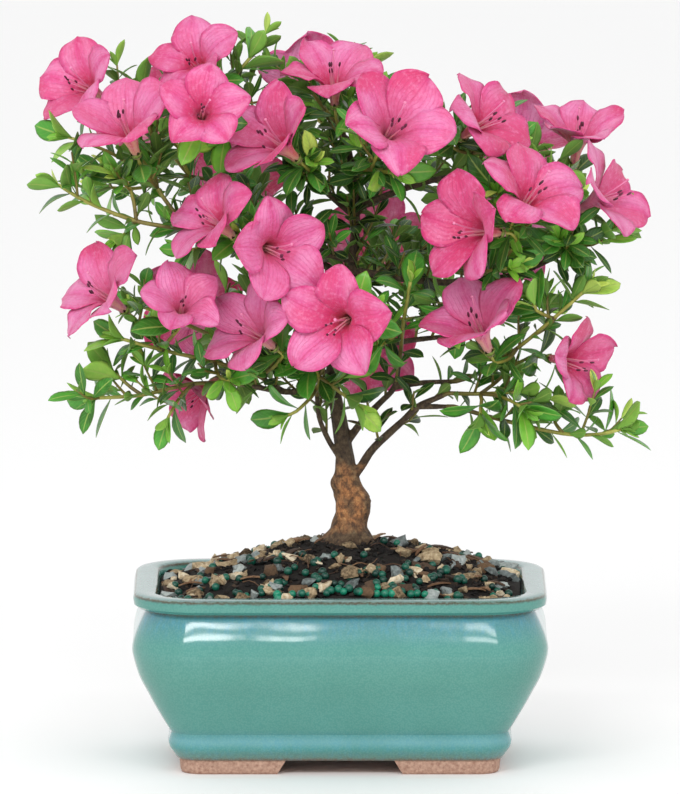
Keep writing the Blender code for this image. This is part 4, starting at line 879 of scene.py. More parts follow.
def corolla(index, upward):
    """The sheet of five joined petals with its thickness: points, inner and other faces, and their marks."""
    rng = random.Random(f"flower-{index}")
    waves = [[rng.uniform(-1, 1) for _ in range(3)] for _ in range(LOBES)]
    closed = rng.uniform(*BLOOM_CLOSED)
    habits = [(rng.uniform(0.4, 1.1), rng.uniform(0, math.tau), closed + rng.uniform(-LOBE_NOD, LOBE_NOD),
               rng.uniform(-LOBE_SWING, LOBE_SWING), LOBE_HOLLOW * rng.uniform(0.3, 1.3),
               LOBE_KEEL * rng.uniform(-0.5, 1.0), LOBE_WIDEST + rng.uniform(-0.08, 0.12),
               rng.uniform(1.25, 2.7), rng.uniform(0.84, 1.06)) for _ in range(LOBES)]
    shares = [TUBE_SHARE * row / TUBE_ROWS for row in range(TUBE_ROWS + 1)]
    shares += [TUBE_SHARE + (1 - TUBE_SHARE) * (1 - (1 - row / LOBE_ROWS) ** 1.4)
               for row in range(1, LOBE_ROWS + 1)]
    sheet, marks, number = [], [], {}
    for lobe in range(LOBES):
        facing = math.cos(math.tau * lobe / LOBES - upward)
        for row, s in enumerate(shares):
            for column in range(LOBE_COLUMNS + 1):
                if row <= TUBE_ROWS and column == LOBE_COLUMNS:
                    continue
                t = 2 * column / LOBE_COLUMNS - 1
                number[lobe, row, column] = len(sheet)
                sheet.append(petal_point(lobe, s, t, waves[lobe], habits[lobe]))
                marks.append((s, t, facing))
    for lobe in range(LOBES):
        for row in range(TUBE_ROWS + 1):
            number[lobe, row, LOBE_COLUMNS] = number[(lobe + 1) % LOBES, row, 0]
    faces = []
    for lobe in range(LOBES):
        for row in range(len(shares) - 1):
            for column in range(LOBE_COLUMNS):
                faces.append(tuple(number[lobe, row + up, column + on]
                                   for up, on in ((0, 0), (0, 1), (1, 1), (1, 0))))
    normals = [Vector() for _ in sheet]
    edges = set()
    for face in faces:
        normal = (sheet[face[2]] - sheet[face[0]]).cross(sheet[face[3]] - sheet[face[1]])
        for i, corner in enumerate(face):
            normals[corner] += normal
            edges.add((corner, face[(i + 1) % 4]))
    shift = [normal.normalized() * PETAL_THICKNESS / 2 for normal in normals]
    count = len(sheet)
    points = [p + n for p, n in zip(sheet, shift)] + [p - n for p, n in zip(sheet, shift)]
    outer = [tuple(corner + count for corner in reversed(face)) for face in faces]
    outer += [(b, a, a + count, b + count) for a, b in edges if (b, a) not in edges]
    return points, faces, outer, marks + marks


def stamen_path(start_angle, lean, reach, sweep):
    """A filament that rises up the throat, leans to the flower's lower side and turns up at its end."""
    away = Vector((math.cos(sweep), math.sin(sweep), 0)) * lean
    foot = Vector((math.cos(start_angle), math.sin(start_angle), 0)) * 0.8
    bends = ((1.3, 0.15, 0.4), (1.8, 0.6, 0.78), (2.0, 0.95, 1.0))
    bends = [foot * out + away * share + UP * reach * rise for out, share, rise in bends]
    return smooth_path([foot + UP * 1.5, *bends], 2.2)


def ball(place, radii, axis, rows=5, sides=8):
    """A small closed ovoid along an axis."""
    across = axis.orthogonal().normalized()
    rings = []
    for row in range(rows + 1):
        angle = math.pi * (0.08 + 0.84 * row / rows)
        middle = place - axis * radii[1] * math.cos(angle)
        rings.append(ring_about(middle, across, axis.cross(across), radii[0] * math.sin(angle), sides))
    return loft(rings)


def running(points, start, end):
    """Marks that run from one value to another over a stem's points."""
    return [(start + (end - start) * i / len(points), 0, 0) for i in range(len(points))]


def petal_skin(name, inside):
    """Azalea petal: satin rose, finely veined, with a painted highlight of pale lavender on each half-lobe;
    inside, freckles on the upper lobes and a cream throat.
    """
    finish, tree, place = new_finish(
        name, Roughness=0.5, Subsurface_Weight=0.18, Subsurface_Radius=(1.0, 0.35, 0.5),
        Subsurface_Scale=0.0014, Sheen_Weight=0.08, Sheen_Roughness=0.5)
    along, across, facing = marks_of(tree)
    out = add(tree, "Math", {0: across}, operation="ABSOLUTE")
    cloud = add(tree, "TexNoise", {"Vector": place, "Scale": 120.0, "Detail": 3.0})
    tone = add(tree, "TexNoise", {"Vector": place, "Scale": 62.0, "Detail": 1.0})
    bloom_tone = add(tree, "TexNoise", {"Vector": place, "Scale": 24.0, "Detail": 0.0})
    fleck = add(tree, "TexNoise", {"Vector": place, "Scale": 520.0, "Detail": 4.0, "Roughness": 0.7})
    crepe = add(tree, "TexNoise", {"Vector": place, "Scale": 700.0, "Detail": 3.0})
    dots = add(tree, "TexVoronoi", {"Vector": place, "Scale": 560.0})
    shaken = add(tree, "Math", {0: cloud, 1: 0.16, 2: along}, operation="MULTIPLY_ADD")
    swaying = add(tree, "Math", {0: cloud, 1: 0.4, 2: across}, operation="MULTIPLY_ADD")
    comb = add(tree, "Math", {0: swaying, 1: 36.0}, operation="MULTIPLY")
    wave = add(tree, "Math", {0: comb}, operation="SINE")
    veins = add(tree, "MapRange", {0: wave, 1: 0.5, 2: 1.0})
    base = add(tree, "ValToRGB", {0: shaken}, stops=(
        (0.10, "#d9c890"), (0.22, "#d67a68"), (0.38, "#d2354f"), (0.54, "#d0356c"), (0.74, "#d25898"),
        (0.94, "#d15195"), (1.06, "#c32f7c")))
    layers = [
        # The first layer, pale lavender over the middle of each half-lobe towards its tip, is a painted
        # highlight.
        ("#e3a0c8", 0.6, (out, 0.1, 0.4), (out, 0.9, 0.6), (along, 0.45, 0.7), (tone, 0.62, 0.40)),
        ("#cb3a6c", 0.75, (tone, 0.48, 0.66)), ("#df94c4", 0.38, (bloom_tone, 0.52, 0.36)),
        ("#c82a5e", 0.55, (bloom_tone, 0.50, 0.66)), ("#c32476", 0.7, (out, 0.84, 1.0)),
        ("#bd2a68", 0.45, (out, 0.06, 0.0)), ("#eba4cc", 0.4, (fleck, 0.5, 0.68)),
        ("#c42262", 0.38, (fleck, 0.46, 0.32)), *(() if inside else (("#c2306a", 0.3),)),
        ("#bb2a66", 0.2, (veins, 0.0, 1.0), (along, 1.4, 0.4)),
    ]
    if inside:
        layers += [
            ("#e0a48e", 0.7, (facing, 0.35, -0.5), (along, 0.5, 0.3), (out, 0.9, 0.3)),
            ("#9a1a44", 0.7, (dots, 0.32, 0.24), (along, 0.62, 0.5), (along, 0.22, 0.32), (facing, 0.55, 0.9),
             (out, 0.7, 0.4)),
        ]
    relief = add(tree, "Math", {0: veins, 1: 0.6, 2: crepe}, operation="MULTIPLY_ADD")
    wear(tree, laid_over(tree, base, *layers), relief, 0.6, 0.35)
    return finish


def soft_finish(name, base_code, tip_code, roughness):
    """A small soft plant part that runs from one colour at its foot to another at its end."""
    finish, tree, place = new_finish(name, Roughness=roughness, Subsurface_Weight=0.1,
                                     Subsurface_Scale=0.0006)
    grain = add(tree, "TexNoise", {"Vector": place, "Scale": 1600.0})
    along = add(tree, "Math", {0: grain, 1: 0.3, 2: marks_of(tree)["X"]}, operation="MULTIPLY_ADD")
    wear(tree, add(tree, "ValToRGB", {0: along}, stops=((0.15, base_code), (1.1, tip_code))))
    return finish


petal = petal_skin("azalea_petal", True)
petal_back = petal_skin("azalea_petal_back", False)
filament = soft_finish("pale_filament", "#e6cdb4", "#d97da4", 0.45)
anther = soft_finish("maroon_anther", "#3a0f20", "#5e1c38", 0.6)
calyx_green = soft_finish("calyx_green", "#5d7430", "#8a9a48", 0.5)
petal_points, petal_faces = [], []
for index, flower in enumerate(FLOWERS):
    to_world = flower_frame(flower)
    up = to_world.to_3x3().inverted() @ UP
    upward = math.atan2(up.y, up.x)
    bloom = Build()
    points, inner, outer, marks = corolla(index, upward)
    petal_faces += [tuple(len(petal_points) + corner for corner in face) for face in inner]
    petal_points += [to_world @ point for point in points[:len(points) // 2]]
    bloom.add(points, inner, 0, marks)
    bloom.faces += outer
    bloom.finishes += [4] * len(outer)
    rng = random.Random(f"stamens-{index}")
    for number in range(STAMENS):
        start_angle = math.tau * number / STAMENS + rng.uniform(-0.2, 0.2)
        sweep = upward + math.pi + rng.uniform(-0.9, 0.9)
        path = stamen_path(start_angle, rng.uniform(1.0, 4.4), rng.uniform(18.5, 25.0), sweep)
        points, faces = tube(path, tapered(path, *FILAMENT_RADII), 5)
        bloom.add(points, faces, 1, running(points, 0.0, 1.0))
        points, faces = ball(path[-1], ANTHER, (path[-1] - path[-2] + Vector((0.6, 0.3, 0))).normalized())
        bloom.add(points, faces, 2, (rng.random(), 0, 0))
    style = smooth_path(STYLE, 2.4)
    points, faces = tube(style, tapered(style, *STYLE_RADII), 6)
    bloom.add(points, faces, 1, running(points, 0.5, 1.5))
    bloom.add(*ball(style[-1], STIGMA, (style[-1] - style[-2]).normalized()), 1, (1.0, 0, 0))
    cup = []
    for level, (z, radius) in enumerate(CALYX_CUP):
        ring = ring_about(UP * z, Vector((1, 0, 0)), Vector((0, 1, 0)), radius, CALYX_SIDES)
        if level == len(CALYX_CUP) - 1:
            for side, spot in enumerate(ring):
                spot.z += CALYX_TEETH * max(0.0, math.cos(LOBES * math.tau * side / CALYX_SIDES))
        cup.append(ring)
    bloom.add(*loft(cup), 3, [(0.3 * (i // CALYX_SIDES), 0, 0) for i in range(len(CALYX_CUP) * CALYX_SIDES)])
    bloom.points = [to_world @ Vector(point) for point in bloom.points]
    node = f"flower_{index + 1:02d}"
    show(node + "_bloom", bloom, [petal, filament, anther, calyx_green, petal_back], "petals", node)

# Leafy shoots
# Young azalea stems, yellow green and stiff, with blunt oval leaves set round them, crowded near each tip
# and under each bloom. The blades are glossy above, paler below, and fresher green towards the tips; deep
# in the crown they are darker green, partly because they are older leaves and partly as a painted shade.
PETAL_SOLID_THICKNESS = 0.8
LEAF_THICKNESS = 0.75
CLEARANCE = 0.35
LEAF_LENGTHS = (13.5, 20.0)
LEAF_HALF_WIDTH = 0.24
LEAF_WIDEST = 0.6
LEAF_FOLD = 0.06
LEAF_BOW = 0.08
LEAF_BAND = 1.1
LEAF_BENDS = (0.0, 0.3, -0.3, 0.15, -0.15, 0.45)
STRAIGHT_END = 3.6
FALLEN_SHARE = 0.18
LEAF_FACES = (
    ("D", "TL", "TM"), ("D", "TM", "C"), ("C", "TM", "TR"), ("TL", "TT", "TM"), ("TM", "TT", "TR"),
    ("A", "BM", "BL"), ("A", "B", "BM"), ("B", "BR", "BM"), ("BL", "BM", "BT"), ("BM", "BR", "BT"),
    ("A", "BL", "TL"), ("A", "TL", "D"), ("B", "C", "TR"), ("B", "TR", "BR"),
    ("BL", "BT", "TT"), ("BL", "TT", "TL"), ("BR", "TR", "TT"), ("BR", "TT", "BT"),
)
MAIN_BANDS = ((1.0, 0.6, 0.9), (5.5, 1.05, 1.0))
TIP_BANDS = ((1.0, 0.6, 0.9), (4.5, 1.05, 1.0))
FLOWER_BANDS = ((2.4, 1.3, 1.0),)
STEM_RADIUS = 0.85
SIDE_STEM_RADIUS = 0.75
BOWS = ((0, 0, 0), (0, -6, 0), (0, 6, 0), (6, 0, 0), (-6, 0, 0), (0, 0, -6), (0, 0, 6))
LEAF_ROWS, LEAF_COLUMNS = 8, 6
TWIG_LENGTHS = (8.0, 19.0)
TWIG_RADII = (0.6, 0.38)
TWIG_LEAF_LENGTHS = (8.5, 14.5)
FRESH_SHARE = 0.18
SLIM_LEAVES = (0.6, 0.95)
GOLDEN_ANGLE = math.radians(137.5)
CROWN_FOOT = 175.0
STEM_TWIGS = {"first": 6.0, "spacing": 9.0, "chance": 0.62, "shade": 0.2}
STEM_LEAVES = {"first": 5.0, "spacing": 3.6, "shade": 0.24}
BARE_STEM_END = 7.0
CROWN_TWIGS, LOW_TWIGS = (0.12, 5.0), (0.4, 8.0)
# Twigs on the old wood: their leaves take the darkest tone, which is a painted shade for the inside of the
# crown.
OLD_TWIGS_IN_PAINTED_SHADE = {"chance": 0.8, "shade": 0.0}
STEM_SINK = 1.3
TIP_LEAVES = 4
TIP_LEAF_LENGTHS = (6.0, 11.0)
TIP_SHADE, END_SHADE, BAND_SHADE, BLOOM_SHADE = 0.72, 0.6, 0.42, 0.35
FRESH_TWIGS = 0.45


def even_tube(path, radius, sides):
    return tube(path, [radius] * len(path), sides)


def blade_axes(out, axis, lean):
    """Directions along a blade that leans out from its stem, up from its face, and to its side."""
    along = turned_from(axis, out, lean)
    normal = squared(axis, along)
    return along, normal, normal.cross(along)


def leaf_corners(out, axis, lean, length, grow=0.0, near=0.0):
    """Corners of a blade about its root: folded along the rib, widest past its middle, bowed at the tip."""
    along, normal, side = blade_axes(out, axis, lean)
    half = LEAF_HALF_WIDTH * length + grow
    middle = along * length * LEAF_WIDEST
    corners = {}
    for level, lift in (("T", LEAF_THICKNESS / 2 + grow), ("B", -LEAF_THICKNESS / 2 - grow)):
        edge = normal * (LEAF_FOLD * length + lift)
        corners[level + "L"] = middle - side * half + edge
        corners[level + "M"] = middle + normal * lift
        corners[level + "R"] = middle + side * half + edge
        corners[level + "T"] = along * (length + grow) + normal * (lift - LEAF_BOW * length)
    for corner, across, level in (("A", -1, -1), ("B", 1, -1), ("C", 1, 1), ("D", -1, 1)):
        reach = side * across * (0.16 * half + grow) + normal * level * (LEAF_THICKNESS / 2 + grow)
        corners[corner] = along * near + reach
    return corners


LEAF_KEYS = list(leaf_corners(Vector((1, 0, 0)), UP, 1.0, 15.0))
LEAF_SOLID_FACES = [tuple(LEAF_KEYS.index(corner) for corner in face) for face in LEAF_FACES]


class Obstacles:
    """What a stem or a leaf has to keep clear of: solids kept under the name of their node."""

    def __init__(self):
        self.trees = {}

    def add(self, name, points, faces):
        self.trees.setdefault(name, []).append(BVHTree.FromPolygons(points, faces))

    def hit_by(self, points, faces, own):
        others = [tree for name, trees in self.trees.items() if name not in own for tree in trees]
        return any_overlap(points, faces, others)


def any_overlap(points, faces, trees):
    tree = BVHTree.FromPolygons(points, faces)
    return any(tree.overlap(other) for other in trees)


def clear_blade(tag, root, out, axis, lean, length, obstacles, own, taken):
    """Where a blade lies that keeps clear of everything round it: bent and shortened until it does."""
    rng = random.Random(tag)
    if rng.random() < FALLEN_SHARE:
        return None
    lean += rng.uniform(-0.18, 0.18)
    length *= rng.uniform(*LEAF_LENGTHS)
    for attempt, bend in enumerate(LEAF_BENDS):
        reach = length * (1 - 0.07 * attempt)
        turned = Matrix.Rotation(rng.uniform(-0.35, 0.35), 3, axis) @ out
        room = leaf_corners(turned, axis, lean + bend, reach, CLEARANCE)
        around = [root + room[key] for key in LEAF_KEYS]
        if obstacles.hit_by(around, LEAF_SOLID_FACES, (own,)):
            continue
        outer = leaf_corners(turned, axis, lean + bend, reach, CLEARANCE, 0.22 * reach)
        points = [root + outer[key] for key in LEAF_KEYS]
        if not any_overlap(points, LEAF_SOLID_FACES, taken):
            taken.append(BVHTree.FromPolygons(points, LEAF_SOLID_FACES))
            obstacles.add(own, around, LEAF_SOLID_FACES)
            return turned, lean + bend, reach
    return None


def side_shoots(green, end, arriving):
    """Curved stems from places on a shoot's own line to a given end, the plainest first."""
    arriving = arriving.normalized()
    last, end = end, end - arriving * STRAIGHT_END
    goal = end - arriving * 10
    starts = sorted(range(max(1, len(green) - 1)), key=lambda i: (green[i] - goal).length)[:3]
    for bow in BOWS:
        for i in starts:
            start = green[i]
            reach = (end - start).length
            along = (green[i + 1] - start).normalized() + (end - start).normalized()
            first = start + along.normalized() * reach * 0.25 + Vector(bow)
            second = end - arriving * reach * 0.4 + Vector(bow)
            steps = 2 if reach < 22 else 3
            path = []
            for t in (step / steps for step in range(steps + 1)):
                path.append(start * (1 - t) ** 3 + first * 3 * t * (1 - t) ** 2
                            + second * 3 * t * t * (1 - t) + end * t ** 3)
            yield [*path, last]


def clear_path(paths, obstacles, own):
    """The first path whose stem keeps clear of the other nodes."""
    return next((path for path in paths
                 if not obstacles.hit_by(*even_tube(path, STEM_RADIUS + CLEARANCE, 4), own)), None)


def side_stems(name, green, obstacles):
    """The side stems of a shoot: those to its flowers, then those that end in leaves alone."""
    own = "shoot_" + name
    wanted = []
    for i, flower in enumerate(FLOWERS):
        if flower[0] == name:
            axis = heading(flower[2], flower[3])
            under = SEAT_GAP + PETAL_SOLID_THICKNESS / 2 * flower[5]
            calyx = flower_frame(flower).translation - axis * under
            wanted.append((f"{name}-flower-{i}", calyx, axis, FLOWER_BANDS, f"flower_{i + 1:02d}"))
    for i, (spot, direction) in enumerate(SHOOTS[name][4]):
        wanted.append((f"{name}-tip-{i}", Vector(spot), Vector(direction), TIP_BANDS, own))
    stems = []
    for tag, end, direction, bands, carried in wanted:
        path = clear_path(side_shoots(green, end, direction), obstacles, (own, carried))
        if path:
            obstacles.add(own, *even_tube(path, SIDE_STEM_RADIUS, 4))
            stems.append((tag, path, SIDE_STEM_RADIUS, bands))
    return stems


def point_along(path, lengths, at):
    for i in range(1, len(path)):
        if lengths[i] >= at - 1e-6:
            share = (at - lengths[i - 1]) / (lengths[i] - lengths[i - 1])
            return path[i - 1].lerp(path[i], share), (path[i] - path[i - 1]).normalized()


def stem_levels(lengths, bands):
    """Where a stem has rings, as (distance, the leafy band that opens there or None)."""
    end = lengths[-1]
    opening = {end - back - LEAF_BAND: (lean, share) for back, lean, share in bands if end - back > 3.5}
    levels = [*opening.items(), *[(at + LEAF_BAND, None) for at in opening]]
    levels += [(at, None) for at in lengths
               if all(abs(at - start - LEAF_BAND / 2) > 1.3 for start in opening)]
    if all(at != end for at, _ in levels):
        levels.append((end, None))
    return sorted(levels, key=lambda level: level[0])


def main_blades(tag, path, radius, bands, obstacles, own, taken):
    """Where a stem's crowded blades lie: (root, out, axis, lean, length, distance from the stem's end)."""
    lengths = path_lengths(path)
    turn = random.Random(tag).uniform(0, math.tau)
    across = (path[1] - path[0]).orthogonal().normalized()
    levels = []
    for at, band in stem_levels(lengths, bands):
        place, along = point_along(path, lengths, at)
        across = squared(across, along)
        other = along.cross(across)
        turn += math.pi / 3 if band else 0.0
        ring = ring_about(place, across, other, radius, 3, turn)
        levels.append((at, band, along, across, other, turn, ring))
    blades = []
    for i, (level, above) in enumerate(zip(levels, levels[1:]), 1):
        at, band, along, across, other, turn, ring = level
        for side in range(3 if band else 0):
            out = turned_from(across, other, turn + math.tau * (side + 0.5) / 3)
            after = (side + 1) % 3
            root = sum((ring[side], ring[after], above[-1][after], above[-1][side]), Vector()) / 4
            found = clear_blade(f"{tag}-{i}-{side}", root, out, along, *band, obstacles, own, taken)
            if found:
                blades.append((root, found[0], along, found[1], found[2], lengths[-1] - at))
    return blades


def leaf_outline(u):
    """Half width of a leaf, as a share of its widest, at a share u of its length."""
    swell = math.sin(math.pi * u ** 1.3)
    return max(0.05, swell ** (0.62 if u > 0.59 else 0.95))


def leaf_blade(build, root, out, axis, lean, length, shade, rng, slim=1.0):
    """A closed blade, thin at its edges: folded along the rib and bowed towards the tip."""
    along, normal, side = blade_axes(out, axis, lean)
    curl, bow, twist = rng.uniform(-0.03, 0.05), LEAF_BOW * rng.uniform(0.6, 1.8), rng.uniform(-0.15, 0.15)
    shade += rng.uniform(-0.12, 0.14) + (0.3 if rng.random() < FRESH_SHARE else 0.0)
    points, marks, halves, keys, under = [], [], [], {}, {}
    for row in range(LEAF_ROWS + 1):
        u = row / LEAF_ROWS
        half = LEAF_HALF_WIDTH * length * slim * leaf_outline(u)
        for column in range(LEAF_COLUMNS + 1):
            t = 2 * column / LEAF_COLUMNS - 1
            lift = 0.28 * abs(t) ** 1.3 * half * (1 - 0.5 * u) - bow * length * u ** 3
            lift += curl * length * math.sin(math.pi * u) + twist * t * half * u
            middle = root + along * length * (u * 1.02 - 0.02) + side * t * half + normal * lift
            halves.append(normal * (0.2 * (1 - t * t) * (0.5 if row in (0, LEAF_ROWS) else 1)))
            keys[row, column] = len(points)
            points.append(middle + halves[-1])
            marks.append((u, t, shade))
    for key, number in keys.items():
        under[key] = number
        if 0 < key[1] < LEAF_COLUMNS:
            under[key] = len(points)
            points.append(points[number] - halves[number] * 2)
            marks.append(marks[number])
    upper, lower = [], []
    for row in range(LEAF_ROWS):
        for column in range(LEAF_COLUMNS):
            corners = ((row, column), (row, column + 1), (row + 1, column + 1), (row + 1, column))
            upper.append(tuple(keys[corner] for corner in corners))
            lower.append(tuple(under[corner] for corner in reversed(corners)))
    for row, order in ((0, 1), (LEAF_ROWS, -1)):
        loop = [keys[row, column] for column in range(LEAF_COLUMNS + 1)]
        loop += [under[row, column] for column in range(LEAF_COLUMNS - 1, 0, -1)]
        lower.append(tuple(loop[::-order]))
    build.add(points, upper + lower, 0, marks)
    build.finishes[-len(lower):] = [1] * len(lower)


def leaf_skin(name, upper):
    """Azalea leaf: leathery and glossy with a sunk pale rib and faint side veins; paler and dull beneath."""
    finish, tree, place = new_finish(name, Roughness=0.36 if upper else 0.6, Specular_IOR_Level=0.38)
    along, across, shade = marks_of(tree)
    out = add(tree, "Math", {0: across}, operation="ABSOLUTE")
    mottled = add(tree, "TexNoise", {"Vector": place, "Scale": 260.0, "Detail": 3.0})
    tone = add(tree, "Math", {0: mottled, 1: 0.3, 2: shade}, operation="MULTIPLY_ADD")
    tone = add(tree, "MapRange", {0: tone, 1: 0.15, 2: 1.15})
    # The tone runs from near-black green, partly older leaves and partly a painted shade deep in the crown,
    # to the yellow green of fresh tips.
    base = add(tree, "ValToRGB", {0: tone}, stops=(
        (0.0, "#10260b"), (0.3, "#2a5c18"), (0.55, "#4a9730"), (0.8, "#84bf3b"), (1.0, "#cbdf66")))
    rib = add(tree, "MapRange", {0: out, 1: 0.03, 2: 0.12, 3: 0.7, 4: 0.0})
    slant = add(tree, "Math", {0: out, 1: -0.28, 2: along}, operation="MULTIPLY_ADD")
    comb = add(tree, "Math", {0: slant, 1: 48.0}, operation="MULTIPLY")
    wave = add(tree, "Math", {0: comb}, operation="SINE")
    veins = add(tree, "MapRange", {0: wave, 1: 0.7, 2: 1.0, 3: 0.0, 4: 0.25})
    layers = [("#a2b85c", rib), ("#79a04a", veins), ("#9db04e", 0.45, (out, 0.86, 1.0))]
    if not upper:
        layers.append(("#86a850", 0.5))
    relief = add(tree, "Math", {0: rib, 1: veins}, operation="ADD")
    wear(tree, laid_over(tree, base, *layers), relief, 0.4, 0.25, invert=upper)
    return finish


def blocked(start, end):
    """Whether a straight way between two places meets a petal or leaves the model's own box."""
    if any(not low[axis] + 1 < end[axis] < high[axis] - 1 for axis in range(3)):
        return True
    return petal_tree.ray_cast(start, (end - start).normalized(), (end - start).length)[0] is not None


def spiral_leaves(build, path, rng, first, last, spacing, shade):
    """Leaves set spirally along a stem between two distances, steeper and fresher towards its end."""
    at = path_lengths(path)
    turn = rng.uniform(0, math.tau)
    across = (path[1] - path[0]).orthogonal().normalized()
    where = first
    while where <= min(last, at[-1]):
        place, axis = point_along(path, at, where)
        across = squared(across, axis)
        turn += GOLDEN_ANGLE
        out = turned_from(across, axis.cross(across), turn)
        near_end = where / at[-1]
        lean = 1.25 - 0.6 * near_end + rng.uniform(-0.2, 0.2)
        length = rng.uniform(*TWIG_LEAF_LENGTHS)
        along = turned_from(axis, out, lean)
        side = along.cross(axis).normalized() * LEAF_HALF_WIDTH * length
        middle = place + along * length * LEAF_WIDEST
        if not any(blocked(place, spot) for spot in (place + along * length, middle + side, middle - side)):
            leaf_blade(build, place + out * 0.4, out, axis, lean, length, shade + 0.3 * near_end, rng,
                       rng.uniform(*SLIM_LEAVES))
        where += spacing * rng.uniform(0.7, 1.3)


def growing_tip(build, path, rng):
    """The few small leaves that are still unfolding, upright and fresh, at the end of a stem."""
    axis = (path[-1] - path[-2]).normalized()
    across = axis.orthogonal().normalized()
    turn = rng.uniform(0, math.tau)
    for _ in range(TIP_LEAVES):
        turn += GOLDEN_ANGLE
        out = turned_from(across, axis.cross(across), turn)
        lean, length = rng.uniform(0.15, 0.7), rng.uniform(*TIP_LEAF_LENGTHS)
        if not blocked(path[-1], path[-1] + turned_from(axis, out, lean) * length):
            leaf_blade(build, path[-1] - axis * 0.4, out, axis, lean, length, TIP_SHADE, rng, 0.85)


def grow_twigs(build, path, radius, rng, first, spacing, chance, shade):
    """Short leafy twigs that leave a stem on all sides, and lean towards its end and up."""
    at = path_lengths(path)
    where = first
    while where < at[-1] - 1:
        place, axis = point_along(path, at, where)
        where += spacing * rng.uniform(0.6, 1.4)
        side = squared(Vector([rng.gauss(0, 1) for _ in range(3)]), axis)
        toward = (axis * 0.7 + side + UP * 0.8).normalized()
        reach = rng.uniform(*TWIG_LENGTHS)
        tip = place + toward * reach + UP * rng.uniform(0.0, 0.25) * reach
        twig = smooth_path([place, place + toward * reach * 0.5 + side * 0.6, tip], FINE_STEP)
        if rng.random() > chance or toward.z < -0.1 or blocked(place + toward * radius, twig[-1]):
            continue
        build.add(*tube(twig, tapered(twig, *TWIG_RADII), 6), 2, (0.45, 0, 0))
        spiral_leaves(build, twig, rng, first=2.5, last=reach, spacing=1.9, shade=shade)
        if shade > 0.1 and rng.random() < FRESH_TWIGS:
            growing_tip(build, twig, rng)


leaf = leaf_skin("azalea_leaf", True)
leaf_back = leaf_skin("azalea_leaf_back", False)
stem_skin = tone_finish("green_stem", (
    (0.1, "#4b3e24"), (0.4, "#74682f"), (0.7, "#93903c"), (0.95, "#b0b054")), 0.5, 2.5, 0.12)
petal_tree = BVHTree.FromPolygons(petal_points, petal_faces)
low, high = [Vector(corner) / MM for corner in model_box]
obstacles = Obstacles()
for node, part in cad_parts.items():
    if node == "trunk" or node.startswith("flower_"):
        spots = [vert.co / MM for vert in part.data.vertices]
        obstacles.add(node, spots, [face.vertices for face in part.data.polygons])
stems = {}
for name in SHOOTS:
    green = shoot_paths(name)[1]
    obstacles.add("shoot_" + name, *even_tube(green, STEM_RADIUS, 4))
    stems[name] = [(f"{name}-main", green, STEM_RADIUS, MAIN_BANDS)]
for name in SHOOTS:
    stems[name] += side_stems(name, stems[name][0][1], obstacles)

for name in SHOOTS:
    own = "shoot_" + name
    taken = [BVHTree.FromPolygons(*even_tube(path, radius, 3)) for _, path, radius, _ in stems[name]]
    sprig = Build()
    for tag, path, radius, bands in stems[name]:
        rng = random.Random("fine-" + tag)
        sunk = [path[0] - (path[1] - path[0]).normalized() * STEM_SINK] if bands is MAIN_BANDS else []
        fine = smooth_path([*sunk, *path], FINE_STEP)
        points, faces = tube(fine, tapered(fine, radius * 1.05, radius * 0.8), 8)
        sprig.add(points, faces, 2, running(points, 0.2, 0.9))
        for *blade, back in main_blades(tag, path, radius, bands, obstacles, own, taken):
            shade = END_SHADE if back < 2.5 else BAND_SHADE
            leaf_blade(sprig, *blade, BLOOM_SHADE if bands is FLOWER_BANDS else shade, rng)
        spiral_leaves(sprig, fine, rng, last=path_lengths(path)[-1] - BARE_STEM_END, **STEM_LEAVES)
        grow_twigs(sprig, fine, radius, rng, **STEM_TWIGS)
        if bands is not FLOWER_BANDS:
            growing_tip(sprig, fine, rng)
    fine = smooth_path(shoot_paths(name)[0], FINE_STEP)
    start, spacing = CROWN_TWIGS if fine[0].z > CROWN_FOOT else LOW_TWIGS
    rng = random.Random("inner-" + name)
    grow_twigs(sprig, fine, 1.5, rng, first=start * path_lengths(fine)[-1], spacing=spacing, **OLD_TWIGS_IN_PAINTED_SHADE)
    show(own + "_leaves", sprig, [leaf, leaf_back, stem_skin], "leaves", own)

# Inner growth
# Short old twigs that come straight out of the trunk in the crown, with small leaves in the darkest tone,
# a painted shade: they fill the shaded room between the branches, and no shoot of the model carries them.
INNER_GROWTH = (150.0, 236.0)
inner = Build()
crown = [Vector(row[:3]) for row in TRUNK if INNER_GROWTH[0] < row[2] < INNER_GROWTH[1]]
rng = random.Random("inner growth")
grow_twigs(inner, smooth_path(crown, FINE_STEP), 2.0, rng, first=2.0, spacing=4.0, chance=0.9, shade=0.0)
show("inner_leaves", inner, [leaf, leaf_back, stem_skin], "leaves")

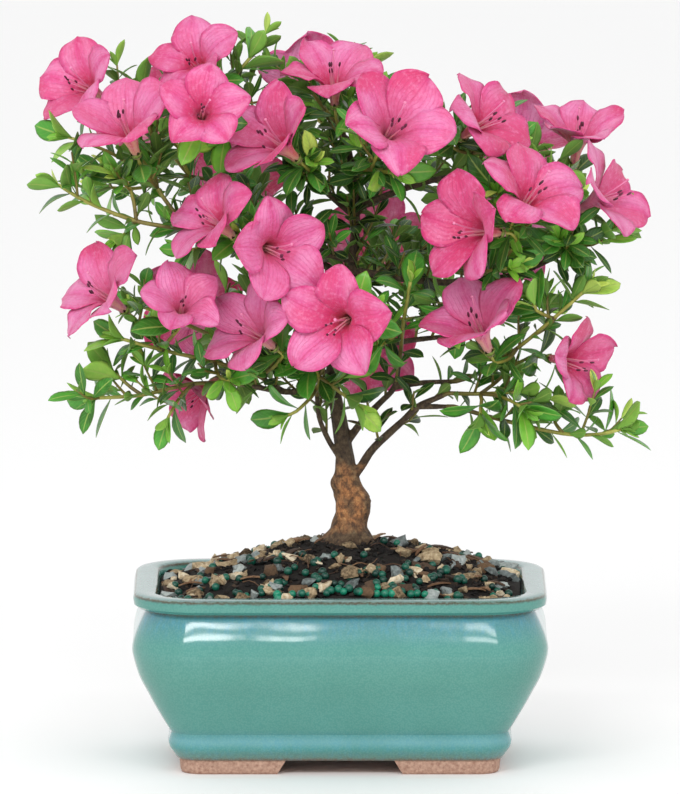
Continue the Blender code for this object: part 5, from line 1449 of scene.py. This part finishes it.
# Studio
# A white table under a bright even room, two softboxes above the front left and a smaller pair at the
# right, and the camera at the photograph's own height and distance.
CAMERA_DISTANCE = 6.0
CAMERA_TILT = 7.5
CAMERA_AIM = (0.0, 0.0, 0.141)
CAMERA_LENS = 704.8
SOFTBOX_WIDTH = 0.84
SOFTBOX_FRONT = -1.26
LIT_HEIGHT = 0.12

table_mesh = bpy.data.meshes.new("white_table")
table_mesh.from_pydata([(-6, -6, 0), (6, -6, 0), (6, 6, 0), (-6, 6, 0)], [], [(0, 1, 2, 3)])
table = bpy.data.objects.new("white_table", table_mesh)
table_mesh.materials.append(new_finish("white_table", Roughness=0.6, Base_Color=linear("#f6f6f6"))[0])
bpy.context.scene.collection.objects.link(table)

room = bpy.data.worlds.new("bright_room")
room.use_nodes = True
room.node_tree.nodes["Background"].inputs["Color"].default_value = (1, 1, 1, 1)
room.node_tree.nodes["Background"].inputs["Strength"].default_value = 1.0
bpy.context.scene.world = room
bpy.context.scene.view_settings.view_transform = "Standard"

for name, x, z, tall, power in (
        ("key_low", -0.46, 0.851, 0.12, 5.0), ("key_high", -0.46, 1.082, 0.09, 4.0),
        ("fill_low", 0.50, 0.851, 0.12, 2.6), ("fill_high", 0.50, 1.082, 0.09, 2.0)):
    lamp = bpy.data.lights.new(name, "AREA")
    lamp.shape = "RECTANGLE"
    lamp.size, lamp.size_y = SOFTBOX_WIDTH, tall
    lamp.energy = power
    softbox = bpy.data.objects.new(name, lamp)
    bpy.context.scene.collection.objects.link(softbox)
    softbox.location = (x, SOFTBOX_FRONT, z)
    toward = Vector((0, -SOFTBOX_FRONT, LIT_HEIGHT - z))
    softbox.rotation_euler = toward.to_track_quat("-Z", "Y").to_euler()

lens = bpy.data.cameras.new("photo_camera")
lens.lens = CAMERA_LENS
lens.sensor_width = 36.0
lens.clip_end = 50.0
camera = bpy.data.objects.new("photo_camera", lens)
bpy.context.scene.collection.objects.link(camera)
tilt = math.radians(CAMERA_TILT)
back = Vector((0, -math.cos(tilt), math.sin(tilt)))
camera.location = Vector(CAMERA_AIM) + back * CAMERA_DISTANCE
camera.rotation_euler = (-back).to_track_quat("-Z", "Y").to_euler()
bpy.context.scene.camera = camera
